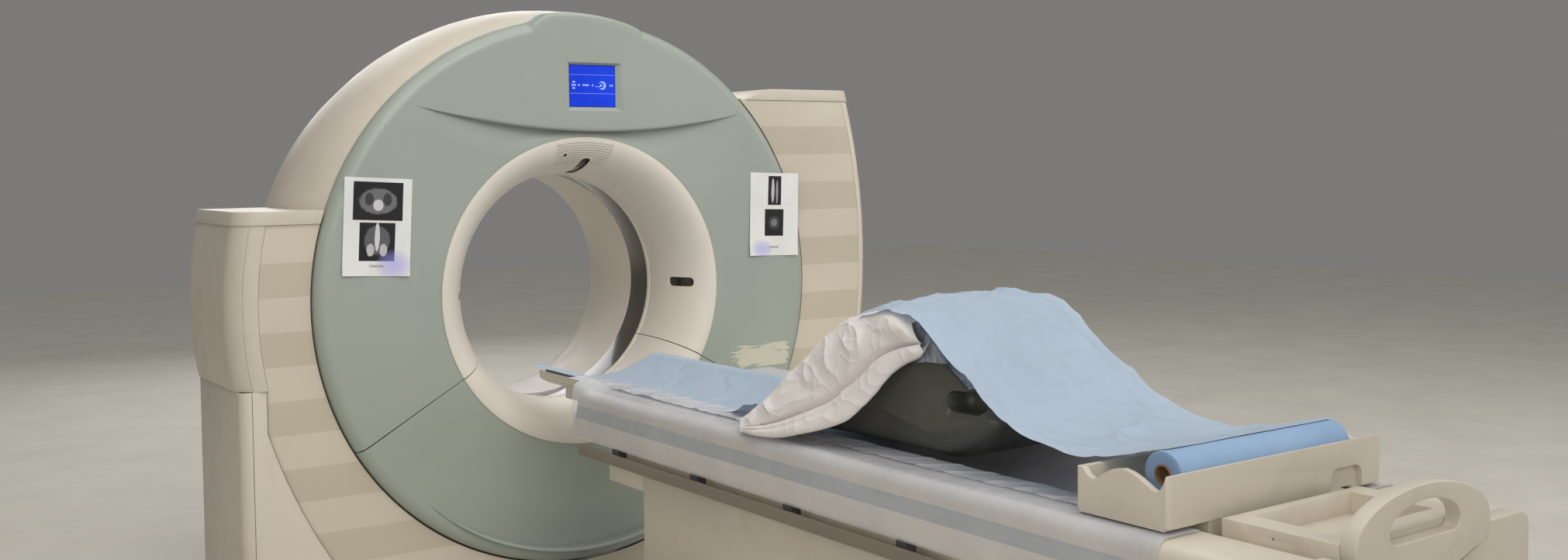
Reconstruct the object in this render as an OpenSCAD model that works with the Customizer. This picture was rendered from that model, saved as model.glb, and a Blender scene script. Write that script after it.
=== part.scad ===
// Whole-body x-ray ring scanner with a lifting, sliding patient table.
// Millimetres. X to the right seen from the table, Y along the bore away from the table, Z up.
// The origin is on the floor, straight under the middle of the bore in the scan plane.

/* [Ring housing] */
// Height of the bore's middle over the floor
iso_z = 1020; // [1010:1:1030]
// Radius of the open bore
bore_r = 390; // [384:1:394]
// Radius at which the funnel meets the flat front
mouth_r = 503; // [495:1:510]
// Radius of the green front cover at its rim
disc_r = 897; // [890:1:899]
// Position of the flat front of the green cover
front_y = -333; // [-336:1:-331]
// Wall of the moulded covers
skin = 8; // [6:0.5:10]
// Angle below level of the two seams in the front cover
seam_a = 30; // [24:1:36]
// How far the brow stands out from the front cover
brow_out = 28; // [20:1:34]

/* [Stand] */
// Thickness of the floor plate
plate_t = 25; // [20:1:34]
// Radius that the fixed covers leave free around the tilting housing
clear_r = 952; // [949:1:956]
// Front of the striped plate
stripe_y = -303; // [-306:1:-300]
// Top of the low left tower
left_top = 1310; // [1296:1:1330]
// Top of the tall right tower
right_top = 1700; // [1680:1:1712]
// Thickness of the tower caps
cap_t = 40; // [34:1:44]
// Radius of the trunnions on which the housing tilts
pivot_r = 65; // [50:1:75]
// Running gap between trunnion and bearing
pivot_gap = 0.05; // [0.02:0.01:0.1]

/* [Table] */
// Top edge of the table body, below the bore's middle
deck_dz = -225; // [-229:1:-223]
// Half width of the table body
deck_hw = 350; // [345:1:352]
// Half width of the telescopic skirt
skirt_hw = 300; // [298:1:306]
// Radius of the hollow in which the patient lies
lie_r = 405; // [404:0.5:407]
// Half width of the sliding top
top_hw = 222; // [218:1:226]
// Thickness of the mattress
pad_t = 18; // [16:0.5:18]
// Thickness of the sliding top's shell
shell_t = 20; // [16:1:21]

/* [Rotor] */
// Outer radius of the turning ring
rotor_r = 835; // [825:1:840]
// Inner radius of the turning ring
rotor_in = 440; // [436:1:444]
// Distance from the tube's focus to the bore's middle
focus_r = 640; // [630:1:645]

/* [Paper] */
// Outer radius of the paper roll
roll_r = 42; // [36:1:42]
// Outer radius of the roll's card core
core_r = 18; // [14:0.5:20]
// Half width of the paper
paper_hw = 249; // [240:1:250]

/* [Hidden] */
roll_y = roll_r - 2997.5;
roll_z = roll_r - 175;
sage = [0.58, 0.64, 0.6];
cream = [0.8, 0.76, 0.7];
stripe = [0.72, 0.68, 0.62];
steel = [0.55, 0.55, 0.56];
dark = [0.2, 0.2, 0.21];
blue = [0.62, 0.72, 0.85];

// Places Z values that are measured from the bore's middle
module at_bore() {
  translate([0, 0, iso_z]) children();
}

// A plane shape in X and Z made into a slab from y0 to y1
module slab(y0, y1) {
  translate([0, y1, 0]) rotate([90, 0, 0]) linear_extrude(y1 - y0) children();
}

// A plane shape in Y and Z made into a bar from x0 to x1
module bar(x0, x1) {
  translate([x0, 0, 0]) rotate([90, 0, 90]) linear_extrude(x1 - x0) children();
}

// A box from its lowest to its highest corner
module box(a, b) {
  translate(a) cube([b[0] - a[0], b[1] - a[1], b[2] - a[2]]);
}

// A profile of radius and Y turned about the bore's line from angle a0 to a1
module turned(a0, a1) {
  at_bore() rotate([-90, 0, 0]) rotate([0, 0, -a1])
    rotate_extrude(angle = a1 - a0, $fn = 180) children();
}

// The same for a whole turn
module round_y() {
  at_bore() rotate([-90, 0, 0]) rotate_extrude($fn = 180) children();
}

// A round bar along Y at x, z measured from the bore's middle
module rod_y(x, z, r, y0, y1) {
  translate([x, y0, iso_z + z]) rotate([-90, 0, 0]) cylinder(h = y1 - y0, r = r, $fn = 96);
}

// A round bar along X at y, z from the floor
module rod_x(y, z, r, x0, x1) {
  translate([x0, y, z]) rotate([0, 90, 0]) cylinder(h = x1 - x0, r = r, $fn = 96);
}

function curve(cx, cy, r, a0, a1, n) =
  [for (i = [0:n]) [cx + r * cos(a0 + (a1 - a0) * i / n), cy + r * sin(a0 + (a1 - a0) * i / n)]];

function oval(cx, cy, rx, ry, a0, a1, n) =
  [for (i = [0:n]) [cx + rx * cos(a0 + (a1 - a0) * i / n), cy + ry * sin(a0 + (a1 - a0) * i / n)]];

// The ball that the tilting housing sweeps, with a margin
module sweep(r) {
  at_bore() sphere(r = r, $fn = 180);
}

// Mirror-image copy across the X = 0 plane beside the first
module both() {
  children();
  mirror([1, 0, 0]) children();
}

// Stand
// Floor plate with four anchor holes
module base_frame() {
  color(steel) difference() {
    union() {
      box([-1105, -262, 0], [1180, 420, plate_t]);
      box([-1090, -285, 0], [1165, -262, plate_t]);
    }
    for (x = [-900, 900], y = [-200, 300])
      translate([x, y, -1]) cylinder(h = plate_t + 2, r = 9, $fn = 48);
  }
}

// Upright that carries one trunnion, x0 is its inner face
module yoke(x0, x1, s) {
  difference() {
    union() {
      box([min(x0, x1), -170, plate_t], [max(x0, x1), 150, iso_z - 20]);
      rod_x(0, iso_z, 150, min(x0, x1), max(x0, x1));
      box([s > 0 ? 720 : x1, -250, plate_t], [s > 0 ? x1 : -720, 150, plate_t + 20]);
    }
    rod_x(0, iso_z, pivot_r + pivot_gap, min(x0, x1) - 1, max(x0, x1) + 1);
  }
}

module yoke_left() {
  color(steel) yoke(-975, -1035, -1);
}

module yoke_right() {
  color(steel) yoke(975, 1050, 1);
}

// Sealed gearbox around the left trunnion with its motor below
module tilt_drive() {
  color(dark) difference() {
    union() {
      rod_x(0, iso_z, 140, -1114, -1035);
      translate([-1070, 0, iso_z - 400]) cylinder(h = 290, r = 30, $fn = 64);
    }
    rod_x(0, iso_z, pivot_r + pivot_gap, -1092, -1030);
  }
}

module tilt_bearing() {
  color(steel) difference() {
    rod_x(0, iso_z, 115, 1050, 1118);
    rod_x(0, iso_z, pivot_r + pivot_gap, 1049, 1119);
  }
}

// Swollen outline of a tower in X and Z: R is its radius about (cx, cz)
module plate_shape_left() {
  difference() {
    union() {
      intersection() {
        translate([115, iso_z - 5]) circle(r = 1169, $fn = 240);
        translate([-1200, 785]) square([1200, left_top - cap_t - 785]);
      }
      intersection() {
        translate([641, iso_z + 146]) circle(r = 1750, $fn = 240);
        translate([-1034, 8]) square([1034, 777]);
      }
    }
    translate([-1, 0]) square([10, 2000]);
  }
}

module plate_shape_right() {
  difference() {
    union() {
      intersection() {
        translate([-880, iso_z + 80]) circle(r = 2049, $fn = 240);
        translate([0, 785]) square([1300, right_top - cap_t - 785]);
      }
      intersection() {
        translate([-641, iso_z + 146]) circle(r = 1750, $fn = 240);
        translate([0, 8]) square([1200, 780]);
      }
    }
    translate([-9, 0]) square([10, 2000]);
  }
}

// Striped front plates, open around the round housing
module front_plate_left() {
  color(stripe) difference() {
    slab(stripe_y, stripe_y + 18) plate_shape_left();
    sweep(clear_r);
    box([-800, stripe_y - 1, iso_z], [10, stripe_y + 20, 2000]);
  }
}

module front_plate_right() {
  color(stripe) difference() {
    slab(stripe_y, stripe_y + 18) plate_shape_right();
    sweep(clear_r);
    box([-10, stripe_y - 1, iso_z + 400], [600, stripe_y + 20, 2000]);
    box([-10, stripe_y - 1, iso_z], [700, stripe_y + 20, iso_z + 500]);
  }
}

// Plain panels outside the curved ridges, set back from the stripes
module corner_panels() {
  color(cream) {
    slab(stripe_y + 6, stripe_y + 18) difference() {
      translate([-1076, 8]) square([600, 776]);
      intersection() {
        translate([641, iso_z + 146]) circle(r = 1751, $fn = 240);
        translate([-1035, 0]) square([1035, 800]);
      }
    }
    slab(stripe_y + 6, stripe_y + 18) difference() {
      translate([551, 8]) square([600, 776]);
      translate([-641, iso_z + 146]) circle(r = 1751, $fn = 240);
    }
  }
}

// Tower side as a profile turned about a line along Y, t is added outside
module tower_body(cx, cz, r, corner, a, t) {
  translate([cx, 0, iso_z + cz]) rotate([-90, 0, 0]) rotate([0, 0, a])
    rotate_extrude(angle = 40, $fn = 240)
      polygon(concat([[200, stripe_y - t]],
        curve(r - corner, stripe_y + corner, corner + t, -90, 0, 8),
        [[r + t, 167], [200, 167]]));
}

module side_cover_left() {
  color(cream) intersection() {
    difference() {
      tower_body(115, -5, 1250, 80, 160, 0);
      tower_body(115, -5, 1250, 80, 160, -5);
      translate([0, stripe_y - 10, 0]) box([-1000, 0, 0], [0, 490, 2000]);
    }
    difference() {
      box([-1300, -400, 785], [-900, 163, left_top - cap_t]);
      slab(stripe_y - 5, stripe_y + 25) translate([115, iso_z - 5]) circle(r = 1170, $fn = 240);
    }
  }
}

module side_cover_right() {
  color(cream) intersection() {
    difference() {
      tower_body(-880, 80, 2090, 40, -20, 0);
      tower_body(-880, 80, 2090, 40, -20, -5);
    }
    difference() {
      box([900, -400, 785], [1400, 163, right_top - cap_t]);
      slab(stripe_y - 5, stripe_y + 25) translate([-880, iso_z + 80])
        circle(r = 2050, $fn = 240);
    }
  }
}

// Lower side skirt as a bent sheet, x is its outer face
module skirt_shape(x) {
  difference() {
    union() {
      translate([x - 33, stripe_y + 39]) circle(r = 33, $fn = 96);
      translate([x - 60, stripe_y + 39]) square([60, 425 - stripe_y - 303]);
      translate([x - 60, stripe_y + 6]) square([27, 200]);
    }
    translate([x - 33, stripe_y + 39]) circle(r = 28, $fn = 96);
    translate([x - 200, stripe_y + 39]) square([195, 800]);
    translate([x - 200, stripe_y + 11]) square([167, 800]);
    translate([x - 200, stripe_y - 10]) square([167, 100]);
  }
}

module side_skirts() {
  color(cream) {
    translate([0, 0, 8]) linear_extrude(776) skirt_shape(1185);
    mirror([1, 0, 0]) translate([0, 0, 8]) linear_extrude(776) skirt_shape(1110);
  }
}

module tower_caps() {
  color(cream) {
    difference() {
      intersection() {
        tower_body(115, -5, 1250, 80, 160, 4);
        box([-1300, -400, left_top - cap_t], [-700, 167, left_top]);
      }
      sweep(clear_r + 3);
      box([-800, -400, 1000], [-600, 400, 1500]);
    }
    difference() {
      intersection() {
        tower_body(-880, 80, 2090, 40, -20, 4);
        box([500, -400, right_top - cap_t], [1400, 167, right_top]);
      }
      sweep(clear_r + 13);
      box([400, -400, 1500], [606, 400, 1900]);
    }
  }
}

// Back panels of both towers
module rear_panels() {
  color(cream) difference() {
    slab(163, 167) difference() {
      union() {
        intersection() {
          translate([115, iso_z - 5]) circle(r = 1249, $fn = 240);
          translate([-1300, 785]) square([900, left_top - cap_t - 785]);
        }
        translate([-1104, plate_t]) square([754, 762]);
        intersection() {
          translate([-880, iso_z + 80]) circle(r = 2089, $fn = 240);
          translate([400, 785]) square([1000, right_top - cap_t - 785]);
        }
        translate([350, plate_t]) square([829, 762]);
      }
      translate([0, iso_z]) circle(r = 958, $fn = 240);
      translate([0, iso_z + 200]) square([600, 1000]);
    }
  }
}

// Table foot
module table_base() {
  color(steel) box([-262, -2392, 0], [262, -1245, 12]);
}

// Open-bottomed cover over a space, wall t, from a to b, with a lid
module hood(a, b, t, lid) {
  difference() {
    box(a, b);
    box([a[0] + t, a[1] + t, a[2] - 1], [b[0] - t, b[1] - t, b[2] - lid]);
  }
}

module base_cover() {
  color(cream) difference() {
    hood([-skirt_hw + 30, -2400, 12], [skirt_hw - 30, -1237, 235], 5, 5);
    box([-121, -1961, 200], [121, -1639, 300]);
  }
}

module tube_box(hx, hy, t, z0, z1) {
  difference() {
    box([-hx, -1800 - hy, z0], [hx, -1800 + hy, z1]);
    box([t - hx, t - 1800 - hy, z0 - 1], [hx - t, hy - 1800 - t, z1 + 1]);
  }
}

module column_outer() {
  color(steel) tube_box(120, 160, 15, 12, 240);
}

module floor_duct() {
  color(dark) box([-80, -1237, 0], [80, stripe_y, 22]);
}

// Tilting housing
// Ring frame with the two trunnions and the rotor's bearing seat
module drum_frame() {
  color(steel) difference() {
    union() {
      round_y() polygon([[852, -270], [852, 190], [503, 190], [503, 230], [880, 230],
        [880, -262], [883, -262], [883, -270]]);
      rod_x(0, iso_z, pivot_r, -1086, -862);
      rod_x(0, iso_z, pivot_r, 862, 1112);
      rod_x(0, iso_z, 110, -905, -862);
      rod_x(0, iso_z, 110, 862, 905);
    }
    round_y() polygon([[0, -300], [852, -300], [852, 190], [0, 190]]);
  }
}

// Section of the flat front with its rounded rim
module disc_section() {
  polygon(concat([[mouth_r + 1, front_y]],
    curve(disc_r - 40, front_y + 40, 40, -90, 0, 6),
    [[disc_r, front_y + 50], [disc_r - skin, front_y + 50]],
    curve(disc_r - 40, front_y + 40, 40 - skin, 0, -90, 6),
    [[mouth_r + 1, front_y + skin]]));
}

// Raised brow over the screen, faded out at both ends by a wide curve
module brow_body() {
  intersection() {
    slab(front_y - brow_out, front_y + 1) intersection() {
      translate([0, iso_z]) circle(r = disc_r - 12, $fn = 240);
      translate([50, iso_z + 524 + 2540]) circle(r = 2540, $fn = 300);
    }
    translate([50, front_y - brow_out + 6015, 0]) cylinder(h = 2500, r = 6015, $fn = 720);
    round_y() polygon([[0, front_y - 40], [disc_r - 120, front_y - 40],
      [disc_r - 12, front_y + 2], [disc_r - 12, front_y + 20], [0, front_y + 20]]);
  }
}

// Crown housing on the top of the brow
module crown_body() {
  slab(front_y - brow_out + 2, front_y + 50)
    translate([0, iso_z])
      polygon([[-190, 820], [-188, 876], [-181, 883], [-153, 904], [-131, 911], [-69, 916],
        [6, 915], [82, 907], [126, 899], [166, 890], [183, 884], [200, 871], [204, 820]]);
}

module front_cover_upper() {
  color(sage) difference() {
    union() {
      turned(-seam_a + 0.1, 180 + seam_a - 0.1) disc_section();
      brow_body();
      crown_body();
    }
    box([-71, front_y - brow_out - 10, iso_z + 592], [122, front_y - brow_out + 12, iso_z + 743]);
    round_y() polygon([[700, front_y + skin], [disc_r - skin - 8, front_y + skin],
      [disc_r - skin - 8, front_y + 60], [700, front_y + 60]]);
    box([-60, front_y - 20, iso_z + 604], [110, front_y + 30, iso_z + 742]);
  }
}

module front_cover_lower() {
  color(sage) turned(180 + seam_a + 0.1, 360 - seam_a - 0.1) disc_section();
}

// Bell mouth outline at depth t under its surface
function bell(t) = concat(
  oval(mouth_r, front_y + 225, mouth_r - bore_r - t, 225 - t, -90, -180, 14),
  [[bore_r + t, -66]]);

function bell_back(t) = [for (i = [len(bell(t)) - 1:-1:0]) bell(t)[i]];

module bell_section(t0, t1) {
  polygon(concat(bell(t0), bell_back(t1)));
}

// Boxes of the three light slots, g is added all round
module slot_boxes(g) {
  at_bore() {
    translate([0, 0, 370]) linear_extrude(90)
      polygon(concat(curve(26, -152, 12 + g, 0, 180, 12), curve(26, -286, 12 + g, 180, 360, 12)));
    for (x = [-470, 370])
      bar(x, x + 100)
        polygon(concat(curve(-214, 0, 16 + g, -90, 90, 12), curve(-281, 0, 16 + g, 90, 270, 12)));
  }
}

module funnel_upper() {
  color(sage) difference() {
    turned(-seam_a + 0.2, 180 + seam_a - 0.2) bell_section(0, skin);
    slot_boxes(1);
  }
}

module funnel_lower() {
  color(sage) turned(180 + seam_a + 0.2, 360 - seam_a - 0.2) bell_section(0, skin);
}

module laser_windows() {
  color(dark) intersection() {
    round_y() bell_section(1.5, 6);
    slot_boxes(0);
  }
}

module speaker_grille() {
  color(cream) difference() {
    intersection() {
      turned(77, 103) bell_section(-2, 0);
      round_y() translate([424, front_y - 10]) square([66, 200]);
    }
    at_bore() box([6, -333, 380], [46, -130, 446]);
  }
}

module scan_window() {
  color(dark) round_y() translate([bore_r, -66]) square([3, 132]);
}

function flare(t) = oval(520, 293, 130 - t, 222 - t, 180, 90, 10);

function flare_back(t) = [for (i = [len(flare(t)) - 1:-1:0]) flare(t)[i]];

module rear_funnel() {
  color(sage) round_y() polygon(concat([[bore_r, 66]], [for (p = flare(0)) [p[0] + bore_r - 390, p[1]]],
    [for (p = flare_back(-skin)) if (p[1] < 507) [p[0] + bore_r - 390 + 16, p[1]]],
    [[bore_r + skin, 293], [bore_r + skin, 66]]));
}

hull_line = [[889, -282], [908, -240], [922, -200], [933, -150], [941, -90], [945, -40], [946, 0],
  [945, 40], [941, 90], [934, 147], [923, 205], [905, 300], [880, 380]];

module shell_section() {
  polygon(concat(hull_line,
    [for (i = [len(hull_line) - 1:-1:0]) [hull_line[i][0] - skin, hull_line[i][1]]]));
}

// Half shell with the opening for its trunnion, s is 1 for the right one
module half_shell(s) {
  difference() {
    round_y() shell_section();
    box([s > 0 ? -1000 : -0.7, -400, 0], [s > 0 ? 0.7 : 1000, 500, 2100]);
    box([s > 0 ? 850 : -1000, -130, iso_z - 130], [s > 0 ? 1000 : -850, 130, iso_z + 130]);
  }
}

module shell_left() {
  color(cream) half_shell(-1);
}

module shell_right() {
  color(cream) half_shell(1);
}

module rear_cover() {
  color(cream) round_y() polygon([[880, 381], [864, 412], [845, 440], [820, 467], [790, 490],
    [750, 505], [700, 513], [650, 515], [522, 515], [522, 507], [648, 507], [698, 505],
    [746, 497], [784, 483], [813, 461], [838, 434], [856, 408], [872, 381]]);
}

module display_screen() {
  color([0.1, 0.25, 0.9]) at_bore()
    box([-58, front_y - brow_out + 14, 605.5], [108, front_y - 2, 740.5]);
}

// Flat keypads under the notice sheets
module control_panels() {
  color(dark) at_bore() {
    translate([-706, front_y - 1.5, 235]) rotate([0, 3.2, 0]) box([-90, 0, -130], [90, 1.5, 130]);
    translate([735, front_y - 1.5, 229]) rotate([0, 2, 0]) box([-75, 0, -130], [75, 1.5, 130]);
  }
}

module notice_sheets() {
  color([0.9, 0.9, 0.88]) at_bore() {
    translate([-706, front_y - 2.3, 235]) rotate([0, 3.2, 0])
      box([-105, 0, -148.5], [105, 0.6, 148.5]);
    translate([757, front_y - 2.3, 229]) rotate([0, 2, 0])
      box([-105, 0, -148.5], [105, 0.6, 148.5]);
  }
}

// Turning ring
module rotor_ring() {
  color(steel) difference() {
    union() {
      round_y() translate([rotor_in, 62]) square([rotor_r - rotor_in, 30]);
      round_y() translate([rotor_in, 80]) square([60, 182]);
    }
    for (a = [0:45:315])
      at_bore() rotate([0, a + 22.5, 0]) translate([660, 50, 0]) rotate([-90, 0, 0])
        cylinder(h = 60, r = 45, $fn = 64);
  }
}

// A box whose middle is at radius r and angle a on the ring
module on_ring(a, r, ht, hr, y0, y1) {
  at_bore() rotate([0, -a, 0]) box([r - hr, y0, -ht], [r + hr, y1, ht]);
}

module xray_tube() {
  color(dark) {
    rod_y(0, 705, 92, -185, 40);
    rod_y(0, 705, 50, -205, -180);
    on_ring(90, 705, 118, 98, 30, 62);
  }
}

module collimator() {
  color(steel) on_ring(90, 552, 90, 48, -75, 62);
}

// Detector bank, curved about the tube's focus
module detector_arc() {
  color(dark) translate([0, 0, focus_r]) at_bore() rotate([-90, 0, 0]) rotate([0, 0, 63])
    rotate_extrude(angle = 54, $fn = 240)
      translate([focus_r + 446, -60]) square([80, 122]);
}

module generator() {
  color(dark) {
    on_ring(-14, 700, 130, 95, -190, 62);
    on_ring(194, 700, 130, 95, -190, 62);
  }
}

module tube_cooler() {
  color(steel) {
    on_ring(42, 690, 120, 90, -170, 62);
    on_ring(140, 690, 90, 80, -120, 62);
  }
}

module slip_ring() {
  color([0.7, 0.55, 0.3]) round_y() translate([rotor_in + 4, 262]) square([150, 22]);
}

// Lifting table
module deck_outline() {
  union() {
    translate([25 - deck_hw, -362]) square([2 * deck_hw - 50, -362 * -1 + deck_dz]);
    translate([-deck_hw, -347]) square([2 * deck_hw, 347 + deck_dz - 25]);
    for (s = [-1, 1]) {
      translate([s * (deck_hw - 25), deck_dz - 25]) circle(r = 25, $fn = 96);
      translate([s * (deck_hw - 15), -347]) circle(r = 15, $fn = 64);
    }
    translate([15 - deck_hw, -362]) square([2 * deck_hw - 30, 20]);
  }
}

// Cuts the end toward the ring to its slope
module end_slope(g) {
  at_bore() bar(-500, 500) polygon([[-948 - g, deck_dz + 1], [-879 - g, -363], [-700, -363],
    [-700, deck_dz + 1]]);
}

module couch_body() {
  color(cream) difference() {
    at_bore() slab(-3238, -879) difference() {
      deck_outline();
      translate([-232, -325]) square([464, 200]);
      for (s = [-1, 1]) translate([s * deck_hw - 4, -303]) square([8, 35]);
    }
    end_slope(0);
  }
}

module couch_bands() {
  color([0.6, 0.65, 0.66]) difference() {
    at_bore() slab(-3238, -879)
      for (s = [-1, 1]) translate([s * (deck_hw - 2.5) - 1.5, -303]) square([3, 35]);
    end_slope(0);
  }
}

// Moulded end with its opening for the sliding top
module foot_end_cover() {
  color(cream) at_bore() slab(-3278, -3238) difference() {
    deck_outline();
    polygon([[-211, -150], [-211, -252], [-112, -284], [-100, -325], [100, -325],
      [112, -284], [211, -252], [211, -150]]);
  }
}

module under_frame() {
  color(dark) at_bore() {
    box([-270, -2420, -413], [270, -1040, -362]);
    box([-skirt_hw, -1206, -471], [skirt_hw, -1016, -413]);
  }
}

module accessory_rails() {
  color(steel) at_bore() both()
    box([-356, -2463, -405], [-346, -940, -375]);
}

module rail_clips() {
  color(dark) at_bore() both()
    for (y = [-1136, -1539, -1942, -2345])
      box([-346, y - 16, -398], [-316, y + 16, -362]);
}

module column_inner() {
  color(steel) box([-60, -1880, 340], [60, -1720, iso_z - 420]);
}

module upper_skirt() {
  color(cream) hood([-skirt_hw, -2430, iso_z - 670], [skirt_hw, -1206, iso_z - 413], 6, 7);
}

// Thin see-through cover along both long edges
module cover_film() {
  color([0.9, 0.92, 0.95]) at_bore() slab(-3030, -952) both() {
    translate([26 - deck_hw, deck_dz + 1]) square([deck_hw - 26 - 236, 1.5]);
    translate([-deck_hw - 2.5, -370]) square([1.5, 345 + deck_dz]);
    difference() {
      translate([25 - deck_hw, deck_dz - 25]) circle(r = 27.5, $fn = 96);
      translate([25 - deck_hw, deck_dz - 25]) circle(r = 26, $fn = 96);
      translate([26 - deck_hw, deck_dz - 60]) square([60, 80]);
      translate([-deck_hw - 10, deck_dz - 85]) square([60, 60]);
    }
  }
}

// Middle stage of the lift
module column_mid() {
  color(steel) tube_box(90, 120, 15, 170, 415);
}

module mid_skirt() {
  color(cream) difference() {
    hood([15 - skirt_hw, -2415, 180], [skirt_hw - 15, -1222, 420], 5, 6);
    box([-90, -1920, 400], [90, -1680, 430]);
  }
}

// Sliding top
// Hollow strip along Y between two radii of the lying surface
module lie_strip(r0, r1, hw, y0, y1) {
  intersection() {
    difference() {
      rod_y(0, lie_r - 277, r1, y0, y1);
      rod_y(0, lie_r - 277, r0, y0 - 1, y1 + 1);
    }
    at_bore() box([-hw, y0 - 1, -600], [hw, y1 + 1, -150]);
  }
}

// Plan with rounded corners at the ring end, hw is the half width and r the corner radius
module tip_plan(hw, y1, r) {
  translate([0, 0, 300]) linear_extrude(800)
    polygon(concat([[hw, -3400]], curve(hw - r, y1 - r, r, 0, 90, 7),
      curve(r - hw, y1 - r, r, 90, 180, 7), [[-hw, -3400]]));
}

module cradle_shell() {
  color(cream) intersection() {
    union() {
      lie_strip(lie_r + 1 + pad_t, lie_r + 1 + pad_t + shell_t, top_hw, -3232, -383);
      at_bore() for (s = [-1, 1])
        difference() {
          box([s * 150 - 10, -3200, -322], [s * 150 + 10, -480, -262]);
          translate([0, 0, -iso_z])
            rod_y(0, lie_r - 277, lie_r + 3 + pad_t, -3300, -300);
        }
    }
    tip_plan(top_hw + 5, -383, 65);
  }
}

module mattress() {
  color(dark) intersection() {
    lie_strip(lie_r + 1, lie_r + 1 + pad_t, 215, -2790, -388);
    tip_plan(220, -388, 60);
  }
}

module foot_tray() {
  color(cream) difference() {
    intersection() {
      at_bore() box([-200, -3260, -420], [200, -3033, -203]);
      rod_y(0, lie_r - 277, lie_r + 1 + pad_t, -3300, -3000);
    }
    at_bore() box([-145, -3215, -243], [145, -3053, -190]);
    rod_x(-3136, iso_z - 219, 2.5, -201, -188);
  }
  color(cream) for (y = [-3074, -3195])
    rod_x(y, iso_z - 217, 11, -201.5, -199.5);
}

// Arched grip across the foot end
module push_handle() {
  color(cream) at_bore() slab(-3290, -3260) difference() {
    polygon(concat([[-190, -245], [-200, -215]], oval(0, -207, 200, 82, 180, 0, 20),
      [[200, -215], [190, -245], [92, -275], [80, -312], [-80, -312], [-92, -275]]));
    polygon(concat(oval(0, -196, 106, 44, 180, 0, 14), curve(86, -196, 20, 0, -90, 5),
      curve(-86, -196, 20, 270, 180, 5)));
  }
}

// Open box across the table that holds the paper roll
module roll_holder() {
  color(cream) difference() {
    union() {
      at_bore() {
        box([-302, -3010, -212], [302, -2798, -121]);
        box([-312, -3000, -212], [312, -2808, -121]);
        box([-312, -3000, -217], [-230, -2808, -212]);
        box([230, -3000, -217], [312, -2808, -212]);
      }
      for (x = [-302, 302], y = [-3000, -2808])
        translate([x, y, iso_z - 212]) cylinder(h = 91, r = 10, $fn = 64);
      intersection() {
        at_bore() box([-200, -3005, -420], [200, -2803, -212]);
        rod_y(0, lie_r - 277, lie_r + 1 + pad_t, -3300, -2700);
      }
    }
    at_bore() box([-298, -2998, -175.2], [298, -2812, -100]);
    at_bore() bar(-320, 320) polygon([[-2816, -80], [-2816, -136], [-2826, -147],
      [-2838, -153], [-2850, -150], [-2866, -138], [-2885, -128], [-2909, -123.5],
      [-2928, -127], [-2945, -134], [-2962, -142.5], [-2974, -149], [-2984, -151.5],
      [-2992, -146], [-3000, -134], [-3004, -121], [-3004, -80]]);
    at_bore() box([-320, -2816, -136], [320, -2790, -100]);
    at_bore() slab(-3011, -2997) {
      polygon(concat([[150, -213], [150, -190]], curve(170, -190, 20, 180, 90, 6),
        curve(228, -190, 20, 90, 0, 6), [[248, -190], [248, -213]]));
      difference() {
        translate([290, -143]) square([30, 30]);
        translate([290, -143]) circle(r = 22, $fn = 96);
      }
    }
  }
}

module roll_core() {
  color([0.5, 0.38, 0.26]) difference() {
    rod_y_x(core_r, -263, 229);
    rod_y_x(core_r - 3, -264, 230);
  }
}

// Round bar along the roll's own line
module rod_y_x(r, x0, x1) {
  rod_x(roll_y, iso_z + roll_z, r, x0, x1);
}

module paper_roll() {
  color(blue) difference() {
    rod_y_x(roll_r, -262, 228);
    rod_y_x(core_r, -263, 229);
  }
}

// Line of the padded hump, Y and Z from foot to ring, at the paper's upper side
crest = [[-2290, 58], [-2262, 84], [-2225, 100], [-2183, 106], [-2133, 102], [-2080, 84],
  [-2033, 58], [-1933, -10], [-1858, -58], [-1760, -121], [-1680, -172]];
rise = [[-2929, -96], [-2860, -116], [-2790, -134], [-2727, -140], [-2653, -138],
  [-2560, -118], [-2490, -92], [-2427, -54], [-2342, 6]];
fall = [[-1630, -200], [-1600, -207], [-1575, -209.5]];

function lowered(pts, d) = [for (p = pts) [p[0], p[1] - d]];

function turned_round(pts) = [for (i = [len(pts) - 1:-1:0]) pts[i]];

module paper_sheet() {
  over = concat(curve(roll_y, roll_z, roll_r + 2.8, 90, 72, 4), rise, crest, fall);
  color(blue) {
    at_bore() bar(4 - paper_hw, paper_hw)
      polygon(concat(over, turned_round(lowered(over, 2.4))));
    lie_strip(lie_r - 1.8, lie_r + 0.6, 217, -1590, -392);
  }
}

module leg_bolster() {
  color([0.24, 0.25, 0.23]) difference() {
    at_bore() bar(-215, 215) polygon(concat(
      [[-2295, -215], [-2345, -205], [-2395, -186], [-2447, -158], [-2478, -132], [-2484, -118],
      [-2466, -106], [-2425, -68], [-2342, -6]], lowered(crest, 9), [[-1628, -215]]));
    at_bore() bar(-216, -150) union() {
      translate([-2425, -108]) square([60, 45]);
      for (y = [-2423, -2367]) translate([y, -85.5]) circle(r = 22.5, $fn = 48);
    }
  }
}

// Folded cloth between bolster and paper, hanging down on the near side
module white_cloth() {
  color([0.92, 0.92, 0.92]) at_bore() {
    bar(-236, 60) polygon(concat(lowered(crest, 3.5), turned_round(lowered(crest, 6.5))));
    bar(-222, -217) polygon(concat(lowered(crest, 6.5),
      [[-1636, -205], [-1700, -213], [-1960, -213], [-2041, -171], [-2160, -60]]));
    box([-330, -1960, -216], [-218, -1700, -212]);
  }
}

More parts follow.
